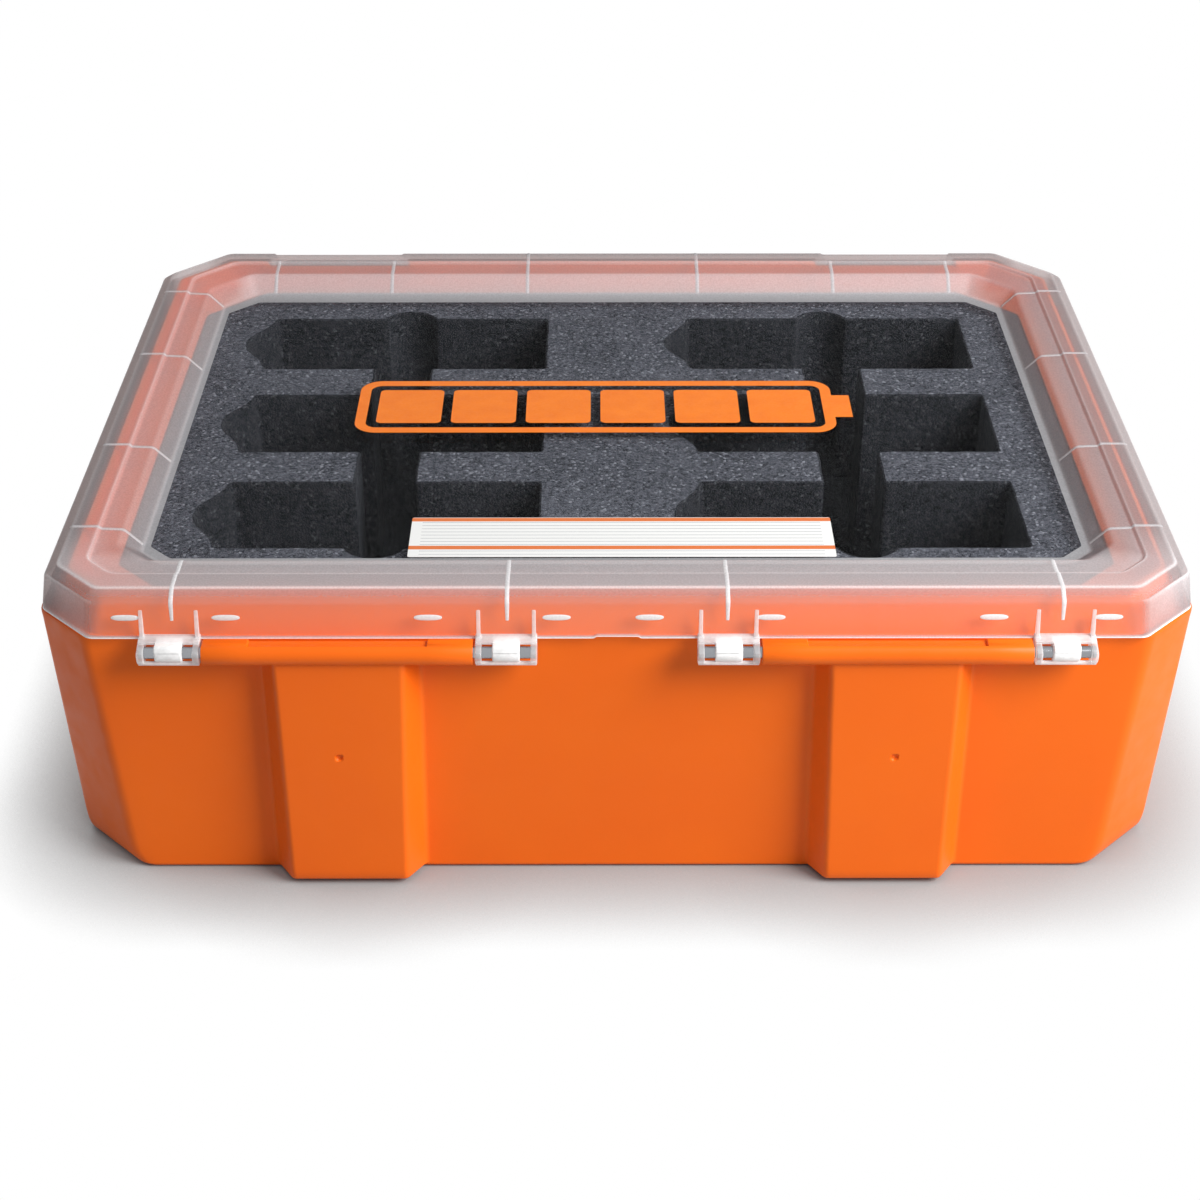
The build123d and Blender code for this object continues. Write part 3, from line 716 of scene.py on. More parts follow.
@dataclass(frozen=True)
class CutFoam:
    """Charcoal closed-cell foam: dark with paler cells and a few bright ones, about a millimetre wide. A darker
    copy goes on the cut faces, a painted shade inside the pockets."""

    name: str = "charcoal_foam"
    # Factor on every tone; below 1 it paints the shade inside the pockets
    shade: float = 1.0
    dark: tuple[float, float, float] = (0.028, 0.029, 0.035)
    pale: tuple[float, float, float] = (0.132, 0.134, 0.154)
    bright: tuple[float, float, float] = (0.32, 0.32, 0.35)
    cell: float = 1.25
    pit_depth: float = 0.45

    def material(self) -> bpy.types.Material:
        """Builds the material.

        Returns:
            The material.
        """
        s = Shader(self.name)
        dark, pale, bright = ((*(self.shade * c for c in tone), 1.0) for tone in (self.dark, self.pale, self.bright))
        cells = s.node("ShaderNodeTexVoronoi", Vector=s.place, Scale=1 / (self.cell * MM), Randomness=1.0)
        tones = s.node("ShaderNodeSeparateColor", Color=cells.outputs["Color"]).outputs
        fine = s.noise(self.cell * 0.8, 2)
        patches = s.between(s.noise(35, 2), 0.3, 0.7, (-0.08, 0.08))
        mixed = s.calc("ADD", s.calc("MULTIPLY", tones[0], 0.6), s.calc("MULTIPLY", fine, 0.8))
        level = s.between(s.calc("ADD", mixed, patches), 0.35, 1.05)
        body = s.blend(level, dark, pale)
        sparkle = s.between(tones[1], 0.9, 1.0, (0.0, 0.8))
        height = s.calc("SUBTRACT", fine, s.calc("MULTIPLY", cells.outputs["Distance"], 0.8))
        surface = s.node(
            "ShaderNodeBsdfPrincipled",
            Base_Color=s.blend(sparkle, body, bright),
            Roughness=0.95,
            Specular_IOR_Level=0.12,
            Normal=s.bump(height, self.pit_depth),
        )
        return s.finish(surface)


@dataclass(frozen=True)
class ScreenPrint:
    """Ink on the window: flat satin orange with a faint unevenness of the ink film."""

    name: str = "orange_print"
    colour: tuple[float, float, float, float] = srgb(240, 125, 20)
    thin_colour: tuple[float, float, float, float] = srgb(234, 117, 16)

    def material(self) -> bpy.types.Material:
        """Builds the material.

        Returns:
            The material.
        """
        s = Shader(self.name)
        film = s.between(s.noise(9, 4), 0.3, 0.7)
        surface = s.node(
            "ShaderNodeBsdfPrincipled",
            Base_Color=s.blend(film, self.colour, self.thin_colour),
            Roughness=s.between(s.noise(1.2), 0.3, 0.7, (0.35, 0.5)),
            Specular_IOR_Level=0.2,
            Normal=s.bump(s.noise(0.8), 0.01),
        )
        return s.finish(surface)


@dataclass(frozen=True)
class RuledLabel:
    """Blank write-on label: white film with two orange bands and fine grey rules, all lines along X."""

    name: str = "ruled_label"
    white: tuple[float, float, float, float] = (0.82, 0.82, 0.8, 1)
    band: tuple[float, float, float, float] = srgb(214, 110, 45)
    rule: tuple[float, float, float, float] = (0.2, 0.21, 0.24, 1)
    bands: tuple[tuple[float, float], ...] = ((-109.6, -106.3), (-135.3, -132.0))
    rule_pitch: float = 2.9
    rule_width: float = 0.28
    rule_start: float = -139.8
    margin: float = 5.0
    middle: float = 2.5
    half_length: float = 97.5

    def material(self) -> bpy.types.Material:
        """Builds the material: each line is a test of the object's own Y, kept clear of the label's ends.

        Returns:
            The material.
        """
        s = Shader(self.name)
        x, y, _ = s.node("ShaderNodeSeparateXYZ", Vector=s.place).outputs
        step = s.calc("SUBTRACT", y, self.rule_start * MM)
        phase = s.calc("FLOORED_MODULO", step, self.rule_pitch * MM)
        ruled = s.calc("LESS_THAN", phase, self.rule_width * MM)
        off_centre = s.calc("ABSOLUTE", s.calc("SUBTRACT", x, self.middle * MM))
        inside = s.calc("LESS_THAN", off_centre, (self.half_length - self.margin) * MM)
        colour = s.blend(s.calc("MULTIPLY", ruled, inside), self.white, self.rule)
        for low, high in self.bands:
            centre, half = (low + high) / 2 * MM, (high - low) / 2 * MM
            distance = s.calc("ABSOLUTE", s.calc("SUBTRACT", y, centre))
            colour = s.blend(s.calc("LESS_THAN", distance, half), colour, self.band)
        surface = s.node(
            "ShaderNodeBsdfPrincipled",
            Base_Color=colour,
            Roughness=s.between(s.noise(2), 0.3, 0.7, (0.4, 0.55)),
            Normal=s.bump(s.noise(1.5), 0.01),
        )
        return s.finish(surface)


@dataclass(frozen=True)
class StudioFloor:
    """White floor: where the case covers it from the light of the room, it shows its own lit shading with a dark
    base colour, partly real shadow and partly a painted contact shadow, and plain white further out. It throws
    less light back on the case than it shows, as a table in a large dark studio does."""

    name: str = "studio_floor"
    contact_shadow_albedo: float = 0.3
    bounce: float = 0.45
    reach: float = 0.06
    sharpness: float = 3.0

    def material(self) -> bpy.types.Material:
        """Builds the material: the share of plain white grows with how open the room is above each point, and the
        dark floor that shows where it is closed is a painted contact shadow.

        Returns:
            The material.
        """
        s = Shader(self.name)
        # Painted contact shadow: ambient occlusion, not the lamps, decides where the dark floor shows
        cover = s.node("ShaderNodeAmbientOcclusion", Distance=self.reach, samples=8)
        away = s.calc("POWER", cover.outputs["AO"], self.sharpness)
        seen = s.seen()
        mottle = s.between(s.noise(300, 2), 0.3, 0.7, (-0.01, 0.01))
        level = s.calc("ADD", mottle, s.between(seen, 0.0, 1.0, (self.bounce, self.contact_shadow_albedo)))
        paint = s.node("ShaderNodeCombineColor", Red=level, Green=level, Blue=level)
        shaded = s.node("ShaderNodeBsdfDiffuse", Color=paint.outputs[0])
        white = s.node("ShaderNodeEmission", Color=(1, 1, 1, 1), Strength=1.0)
        return s.finish(s.layered(s.calc("MULTIPLY", away, seen), shaded, white))


@dataclass(frozen=True)
class Layout:
    """Where the columns of a surface stand round the case's outline.

    Attributes:
        front: X places on the front side, which hold at every level up to the knee.
        back: X places on the back side, likewise.
        knee: X past which the places spread to the corner, as shares of what is left.
        side_steps: Columns on each short side.
        arc_steps: Columns on each rounded corner.
    """

    front: Points
    back: Points
    knee: float = KNEE
    side_steps: int = 9
    arc_steps: int = 6


@dataclass
class Plan:
    """The case seen from above: a rectangle whose four corners are cut at 45 degrees and then rounded."""

    half_length: float = 254.0
    half_width: float = 190.5
    front_cut: float = 23.6
    back_cut: float = 31.8
    flange: float = 148.0

    def level(
        self,
        inset: float,
        rise: float,
        inset_y: float | None = None,
        cuts: tuple[float, float] | None = None,
        radius: float = 6.0,
    ) -> Points:
        """One level of a stacked outline.

        Args:
            inset: Distance inside the flange's edge.
            rise: Height over the flange.
            inset_y: Distance inside the front and back edges, if another.
            cuts: Front and back corner cuts; otherwise they follow a parallel offset of the edge.
            radius: Radius of the rounded corners.

        Returns:
            The level as one row of numbers.
        """
        front, back = cuts or (self.front_cut - SHRINK * inset, self.back_cut - SHRINK * inset)
        return np.array([inset, inset if inset_y is None else inset_y, self.flange + rise, front, back, radius])

    def stretched(self, columns: Points, reach: Points, knee: float) -> Points:
        """X places of the columns on a side: they hold up to the knee, and spread evenly from there to the corner.

        Args:
            columns: X places, and past the knee the knee plus a share of what is left.
            reach: Half of the side's length at each level.
            knee: X of the knee.

        Returns:
            X places, one row per level.
        """
        here = np.minimum(knee, reach - 3.0)[:, None]
        size = np.abs(columns)[None]
        inner = size * here / knee
        outer = here + (size - knee) * (reach[:, None] - here)
        return np.sign(columns)[None] * np.where(size <= knee, inner, outer)

    def ring(self, levels: Points, layout: Layout) -> tuple[Points, slice, slice]:
        """Surface through a stack of outlines: at each level eight straight sides joined by eighth circles.

        Args:
            levels: One row per level.
            layout: Where the columns stand.

        Returns:
            Grid of points, levels by columns, counter-clockwise from above, and the columns of the front and
            back sides.
        """
        x, y = self.half_length - levels[:, INSET_X], self.half_width - levels[:, INSET_Y]
        f, b, r = levels[:, FRONT], levels[:, BACK], levels[:, ROUND]
        corner_x = np.stack([f - x, x - f, x, x, x - b, b - x, -x, -x], axis=1)
        corner_y = np.stack([-y, -y, f - y, y - b, y, y, y - b, f - y], axis=1)
        corners = np.stack([corner_x, corner_y], axis=2)
        along = np.roll(corners, -1, axis=1) - corners
        along /= np.linalg.norm(along, axis=2, keepdims=True)
        before = np.roll(along, 1, axis=1)
        trim = (r * math.tan(math.pi / 8))[:, None, None]
        inward = np.stack([-before[..., 1], before[..., 0]], axis=-1)
        radius = r[:, None, None]
        centre = corners - trim * before + radius * inward
        turn = np.linspace(0, math.pi / 4, layout.arc_steps)[:, None]
        swing = radius[..., None] * (np.sin(turn) * before[:, :, None] - np.cos(turn) * inward[:, :, None])
        arcs = centre[:, :, None] + swing
        starts = arcs[:, :, -1]
        ends = np.roll(arcs[:, :, 0], -1, axis=1)
        parts, spans, count = [], [], 0
        for side in range(8):
            if side == 0:
                places = self.stretched(layout.front, ends[:, 0, 0], layout.knee)
                middle = np.stack([places, np.broadcast_to(-y[:, None], places.shape)], axis=2)
            elif side == 4:
                places = self.stretched(layout.back[::-1], starts[:, 4, 0], layout.knee)
                middle = np.stack([places, np.broadcast_to(y[:, None], places.shape)], axis=2)
            else:
                steps = layout.side_steps if side % 4 == 2 else 1
                share = ((np.arange(steps) + 1) / (steps + 1))[None, :, None]
                middle = starts[:, side, None] + share * (ends - starts)[:, side, None]
            parts += [arcs[:, side], middle]
            count += layout.arc_steps
            spans.append(slice(count, count + middle.shape[1]))
            count += middle.shape[1]
        flat = np.concatenate(parts, axis=1)
        return stacked(flat, levels[:, HEIGHT]), spans[0], spans[4]


class SubAssembly:
    """What every sub-assembly does with a finished mesh."""

    def place(
        self,
        skin: Skin,
        name: str,
        materials: Sequence[bpy.types.Material],
        body: Body,
        slot: Slot,
        replaced: Sequence[str],
        crease: float = CREASE,
    ) -> bpy.types.Object:
        """Builds a piece and ties it to its body.

        Args:
            skin: The mesh under construction.
            name: Name of the piece.
            materials: Its materials.
            body: The body that it moves with.
            slot: The record's material slot; not used.
            replaced: CAD nodes that it stands for.
            crease: Angle past which an edge stays sharp.

        Returns:
            The new piece.
        """
        piece = skin.build(name, materials, crease)
        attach(piece, body.value)
        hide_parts(*replaced)
        LOG.info("%s: %d points, %d faces", name, len(piece.data.vertices), len(piece.data.polygons))
        return piece


@dataclass
class BaseShell(SubAssembly):
    """The orange base: drafted walls with two pillars, rim, ledge, hinge barrels, latch recesses and lugs.

    A pair holds a size along X and along Y, or the two ends of a span, or, for cuts, the front and back corners.
    A height is above the floor, and an inset is from the lid's flange.
    """

    plan: Plan
    finish: bpy.types.Material
    # Underside, as inset and height of each row from the middle out, and counts of the rows after it
    under: tuple[tuple[float, float], ...] = ((60.0, 1.5), (16.5, 1.5), (15.0, 1.3), (14.0, 0.2), (12.8, 0.0))
    foot_rows: int = 6
    lip_rows: int = 18
    # Walls, leaning by the draft, with corners that draw in over the toe
    wall_inset: tuple[float, float] = (-4.0, 0.6)
    draft: tuple[float, float] = (5.6, 2.5)
    wall_top: float = 130.0
    bottom_cuts: tuple[float, float] = (27.5, 35.7)
    corner_toe: tuple[float, float] = (8.0, 14.0)
    wall: float = 3.5
    floor: float = 4.0
    corner_radius: float = 9.0
    bottom_radius: float = 2.4
    # Rim, sealing lip and ledge inside the lid
    rim_inset: tuple[float, float] = (2.0, 9.0)
    rim_top: float = 146.4
    land_inset: float = 13.0
    ledge_inset: float = 27.0
    ledge_top: float = 137.0
    foam_cuts: tuple[float, float] = (24.4, 30.4)
    lip: tuple[float, float, float] = (10.0, 12.0, 149.2)
    # Front pillars, and the dimple in each one's face
    pillar_x: float = 121.95
    pillar_face_y: float = 200.9
    pillar_face_half: tuple[float, float] = (26.5, 28.5)
    pillar_spread: float = 0.6
    pillar_lean: float = 1.5
    pillar_low: float = 2.6
    pillar_high: float = 124.2
    pillar_toe: float = 6.0
    pillar_toe_back: float = 1.5
    pillar_blend: float = 2.2
    dimple_x: float = 124.35
    dimple_z: float = 72.4
    dimple_radius: float = 1.9
    dimple_depth: float = 1.2
    # Recesses behind the latches
    recess_x: float = 157.0
    recess_half: float = 40.8
    recess_y: float = 179.5
    recess_low: float = 86.0
    # Hinge barrels: how far the flat top and the slot reach from the hinge's axis, and the web under them
    hinge_y: float = -198.5
    hinge_z: float = 127.2
    barrel_radius: float = 5.5
    barrel_span: tuple[float, float] = (63.0, 180.9)
    slot_half: float = 38.75
    barrel_flat: tuple[float, float] = (4.3, 4.6)
    slot_cut: tuple[float, float] = (2.1, 3.3)
    web_top: float = 129.1
    web_height: float = 6.5
    # Lugs of the handle
    handle_y: float = 199.0
    handle_z: float = 112.0
    boss_radius: float = 7.0
    lug_starts: tuple[float, float] = (65.7, 79.0)
    lug: float = 4.5
    # Catch ribs, as two places in Y and two heights
    catch_half: float = 26.5
    catch: tuple[float, float, float, float] = (178.5, 186.0, 113.0, 116.0)

    def layout(self) -> Layout:
        """Columns: close together at the pillars' flanks, the dimples and the recesses' sides.

        Returns:
            Where the columns stand.
        """
        flank = np.arange(20.5, 43.0, 0.9)
        pillars = np.concatenate([self.pillar_x - flank, self.pillar_x + flank])
        dimple = self.dimple_x + self.dimple_steps()
        plain = np.array([0.0, 18, 36, 54, 66, 180, 192, 198.9])
        sides = self.recess_half - np.array([3.0, 1.6, 1.1, 0.6, 0.2, 0.0, -0.8])
        recess = np.concatenate([self.recess_x - sides, self.recess_x + sides])
        back = np.concatenate([np.arange(0, 112, 18.0), [135, 157, 179], recess, SPREAD])
        return Layout(mirrored(np.concatenate([plain, pillars, dimple, SPREAD])), mirrored(back))

    def dimple_steps(self) -> Points:
        """Places of the rows and columns across a dimple, from its middle."""
        return np.linspace(-1.25, 1.25, 11) * self.dimple_radius

    def wall_edge(self, depth: float, rise: float, radius: float) -> Points:
        """Level of the walls' top edge.

        Args:
            depth: Distance below the outer face.
            rise: Height over the flange.
            radius: Radius of the rounded corners.

        Returns:
            The level.
        """
        inset_x, inset_y = (inset + depth for inset in self.wall_inset)
        cuts = (self.plan.front_cut - SHRINK * inset_y, self.plan.back_cut - SHRINK * inset_y)
        return self.plan.level(inset_x, rise, inset_y, cuts, radius)

    def wall_foot(self, depth: float, rise: float, radius: float) -> Points:
        """Level of the walls' foot.

        Args:
            depth: Distance below the outer face.
            rise: Height over the flange.
            radius: Radius of the rounded corners.

        Returns:
            The level.
        """
        inset_x, inset_y = (inset + draft + depth for inset, draft in zip(self.wall_inset, self.draft, strict=True))
        front, back = (cut - 0.57 * depth for cut in self.bottom_cuts)
        return self.plan.level(inset_x, rise, inset_y, (front, back), radius)

    def wall_levels(self, z: Points) -> Points:
        """Levels of the outer wall, which leans out evenly from the floor to its top. Its corners draw in
        along a quarter ellipse above the floor.

        Args:
            z: Their heights.

        Returns:
            One row per level.
        """
        top = self.wall_edge(0.0, self.wall_top - self.plan.flange, self.corner_radius)
        low = self.wall_foot(0.0, -self.plan.flange, self.corner_radius)
        levels = low + (top - low) * (z / self.wall_top)[:, None]
        levels[:, HEIGHT] = z
        cut, height = self.corner_toe
        climb = np.clip(1 - z / height, 0, 1)
        levels[:, (FRONT, BACK)] += (cut * (1 - np.sqrt(1 - climb**2)))[:, None]
        return levels

    def outer_levels(self) -> Points:
        """Levels of the underside and the outer wall, from the middle of the underside up.

        Returns:
            One row per level.
        """
        angle = np.linspace(0, math.pi / 2, self.foot_rows)
        foot = self.wall_levels(self.bottom_radius * (1 - np.cos(angle)))
        foot[:, (INSET_X, INSET_Y)] += (self.bottom_radius * (1 - np.sin(angle)))[:, None]
        under = np.repeat(foot[:1], len(self.under), axis=0)
        under[:, (INSET_X, INSET_Y, HEIGHT)] = [(inset, inset, z) for inset, z in self.under]
        low = self.pillar_low
        toe = low + self.pillar_toe * (1 - np.cos(np.linspace(0.15, math.pi / 2, 8)))
        dimple = self.dimple_z + self.dimple_steps()
        high = self.pillar_high
        recess = self.recess_low + np.array([-1.0, -0.1, 0.0, 0.1, 1.0])
        z = np.concatenate([
            [low - 0.15, low - 0.1, low - 0.05, low], toe, [11.0, 14.0, 30.0, 46.0, 60.0], dimple,
            [80.0], recess, [98.0, 112.0, 119.0, high - 0.4, high, high + 0.2, high + 0.6],
        ])
        return np.vstack([under, foot, self.wall_levels(z)])

    def inner_levels(self) -> Points:
        """Levels from the top of the outer wall over the shelf, rim, lip and ledge down to the inside floor.

        Returns:
            One row per level.
        """
        level, flange = self.plan.level, self.plan.flange
        lip_out, lip_in, lip_top = self.lip
        under_ledge = self.ledge_top - 3.0 - flange
        core, neck = self.land_inset - 3.0, self.rim_inset[0] + 3.0
        rim, ledge = self.rim_top - flange, self.ledge_top - flange
        floor_level = self.wall_foot(self.wall, self.floor - flange, 6.0)
        middle_level = floor_level.copy()
        middle_level[[INSET_X, INSET_Y]] = self.under[0][0]
        rows = [
            (self.wall_edge(0.0, self.wall_top - flange - 2, self.corner_radius), 0.1),
            (self.wall_edge(0.0, self.wall_top - flange, self.corner_radius), 0.8),
            (level(self.rim_inset[0], self.wall_top - flange, radius=7), 0.8),
            (level(self.rim_inset[1], rim, radius=7), 0.5),
            (level(lip_out, rim, radius=5), 0.2),
            (level(lip_out, lip_top - flange, radius=5), 0.6),
            (level(lip_in, lip_top - flange, radius=5), 0.6),
            (level(lip_in, rim, radius=5), 0.2),
            (level(self.land_inset, rim, radius=5), 0.6),
            (level(self.land_inset, ledge, radius=5), 1.0),
            (level(self.ledge_inset, ledge, cuts=self.foam_cuts, radius=3), 0.8),
            (level(self.ledge_inset, under_ledge, cuts=self.foam_cuts, radius=3), 0.8),
            (level(core, under_ledge, radius=5), 0.6),
            (level(core, under_ledge + 3.5, radius=5), 0.3),
            (level(neck, self.wall_top - self.wall - flange, radius=5), 0.6),
            (self.wall_edge(self.wall, self.wall_top - self.wall - flange, 6.0), 0.6),
            (floor_level, 3.0),
            (middle_level, 0.1),
        ]
        corners = np.array([row for row, _ in rows])
        radii = [radius for _, radius in rows]
        return rounded(corners, radii, 3, False, (INSET_X, HEIGHT))

    def pillars(self, x: Points, z: Points, y: Points) -> Points:
        """How far the front wall stands out at each place: a flat face with slanted flanks whose edges are
        rounded, a set-back toe, and a round dimple near the middle of the face.

        Args:
            x: Places along the case, levels by columns.
            z: Heights, levels by columns.
            y: Distance of the plain wall from the case's middle plane.

        Returns:
            The added distance.
        """
        depth = self.pillar_face_y - y
        share = np.clip(z / self.pillar_high, 0, 1)
        half = self.pillar_face_half[0] + (self.pillar_face_half[1] - self.pillar_face_half[0]) * share
        off = np.abs(np.abs(x) - self.pillar_x - self.pillar_lean * (1 - share))
        flank = depth + (half - off) / self.pillar_spread
        out = soft_min(soft_max(flank, 0.0, self.pillar_blend), depth, self.pillar_blend)
        out = np.where(flank > -self.pillar_blend, out, 0.0)
        climb = np.clip((z - self.pillar_low) / self.pillar_toe, 0, 1)
        toe = self.pillar_toe_back * (1 - np.sqrt(1 - (1 - climb) ** 2))
        bottom = np.clip((z - self.pillar_low + 0.15) / 0.15, 0, 1)
        top = 1 - np.clip((z - self.pillar_high) / 0.2, 0, 1)
        out = np.clip(out - toe * out / np.maximum(depth, 1), 0, None) * bottom * top
        away = np.hypot(np.abs(x) - self.dimple_x, z - self.dimple_z)
        return out - self.dimple_depth * (1 - ease(away, self.dimple_radius * 0.72, self.dimple_radius))

    def recessed(self, grid: Points, plane: float, grow: float) -> Points:
        """Draws the back wall in to a plane over each latch, with upright sides and a level floor.

        Args:
            grid: Points of the back columns, levels by columns.
            plane: Y of the recess's own wall.
            grow: How much larger than the recess this copy is.

        Returns:
            The changed points.
        """
        x, y, z = np.moveaxis(grid, 2, 0)
        off = np.abs(np.abs(x) - self.recess_x)
        side = 1 - ease(off, self.recess_half + grow - 1.1, self.recess_half + grow)
        floor = np.clip((z - self.recess_low + grow + 0.1) / 0.2, 0, 1)
        pull = side * floor * np.maximum(y - plane, 0) * DRAWN
        lower = side * np.maximum(z - self.rim_top, 0) * DRAWN
        return np.stack([x, y - pull, z - lower], axis=2)

    def shell(self, skin: Skin) -> None:
        """Adds the moulded tub, one closed surface from the underside round the rim to the inside floor.

        Args:
            skin: The mesh under construction.
        """
        outer, inner = self.outer_levels(), self.inner_levels()
        points, front, back = self.plan.ring(np.vstack([outer, inner]), self.layout())
        walls = slice(len(self.under) + self.foot_rows, len(outer))
        x, y, z = np.moveaxis(points[walls, front], 2, 0)
        points[walls, front, 1] = y - self.pillars(x, z, -y)
        split = len(outer) + self.lip_rows
        points[:split, back] = self.recessed(points[:split, back], self.recess_y, 0.0)
        points[split:, back] = self.recessed(points[split:, back], self.recess_y - self.wall, self.wall)
        skin.grid(points, caps=(True, True))

    def barrel(self, skin: Skin, side: int) -> None:
        """Adds one hinge barrel: a round bar with a flat top on a web, carried along X and cut down along the
        middle of its top, where its section goes over into that of the slot.

        Args:
            skin: The mesh under construction.
            side: -1 for the left one, 1 for the right one.
        """
        y, z, r = self.hinge_y, self.hinge_z, self.barrel_radius
        root = -(self.plan.half_width - 2.2)
        low = self.web_top - self.web_height
        down = math.degrees(math.asin((z - low) / r))
        shoulder, top = self.barrel_flat
        brow = 180 - math.degrees(math.asin(top / r))
        front = arc((y, z), r, brow + 5, 360 - down, 22)
        crown = [[y + shoulder, z + top - 0.7], [y + shoulder - 0.2, z + top - 0.2], [y + shoulder - 0.7, z + top]]
        run = np.linspace(y + shoulder - 1.5, y - math.sqrt(r**2 - top**2) + 0.4, 4)
        flat = np.stack([run, np.full(4, z + top)], axis=1)
        start = [[root, self.web_top - 0.01], [y + shoulder, self.web_top]]
        full = np.vstack([start, crown, flat, front, [[root, low]]])
        reach, cover = self.slot_cut
        sunk = np.array([[shoulder, cover - 0.6], [shoulder - 0.1, cover - 0.1], [shoulder - 0.4, cover]])
        floor = np.stack([np.linspace(shoulder - 1.2, 0.3 - reach, 2), np.full(2, cover)], axis=1)
        rise = np.array([[-reach - 0.02, cover + 0.2], [-reach - 0.25, top]])
        slotted = np.vstack([start, np.vstack([sunk, floor, rise]) + [y, z], front, [[root, low]]])
        near, far = self.barrel_span
        middle, half = (near + far) / 2, self.slot_half
        edge = np.array([0.0, 0.15, 0.5])
        step_in = np.array([0.6, 0.3, 0.0])
        slot = np.concatenate([middle - half - step_in, middle + half + step_in[::-1]])
        x = np.concatenate([near + edge, slot, far - edge[::-1]])
        inset = np.array([0.5, 0.15, 0, 0, 0, 0, 0, 0, 0, 0, 0.15, 0.5])
        cut = np.array([0, 0, 0, 0, 0.2, 1, 1, 0.2, 0, 0, 0, 0])[:, None, None]
        section = full[None] + cut * (slotted - full)[None]
        points = standing(x, section - inset[:, None, None] * outward(full)[None])
        if side < 0:
            points = points[:, ::-1] * np.array([-1.0, 1, 1])
        skin.grid(points, caps=(True, True))

    def lugs(self, skin: Skin, side: int) -> None:
        """Adds the two handle lugs of one side: a round boss running into a bracket from the wall.

        Args:
            skin: The mesh under construction.
            side: -1 for the left ones, 1 for the right ones.
        """
        y, z, r = self.handle_y, self.handle_z, self.boss_radius
        root = self.plan.half_width - 3.5
        section = np.vstack([arc((y, z), r, -80, 90, 14), [[root, z + r], [root, z - r - 6]]])
        for start in self.lug_starts:
            low, high = sorted((side * start, side * (start + self.lug)))
            skin.bar(section, low, high, edge=0.8)

    def catch_rib(self, skin: Skin, side: int) -> None:
        """Adds the rib in one recess that the latch's bead snaps under.

        Args:
            skin: The mesh under construction.
            side: -1 for the left recess, 1 for the right one.
        """
        y0, y1, z0, z1 = self.catch
        corners = np.array([[y0, z0], [y1, z0 + 0.6], [y1, z1 - 0.6], [y0, z1]])
        section = rounded(corners, [0.1, 0.7, 0.7, 0.1], 4, True, (0, 1))
        middle = side * self.recess_x
        skin.bar(section, middle - self.catch_half, middle + self.catch_half)

    def build(self) -> None:
        """Builds the base in place of the CAD base."""
        skin = Skin()
        self.shell(skin)
        for side in (-1, 1):
            self.barrel(skin, side)
            self.lugs(skin, side)
            self.catch_rib(skin, side)
        self.place(skin, "moulded_base", [self.finish], Body.BASE, Slot.ORANGE, ["base_shell"])


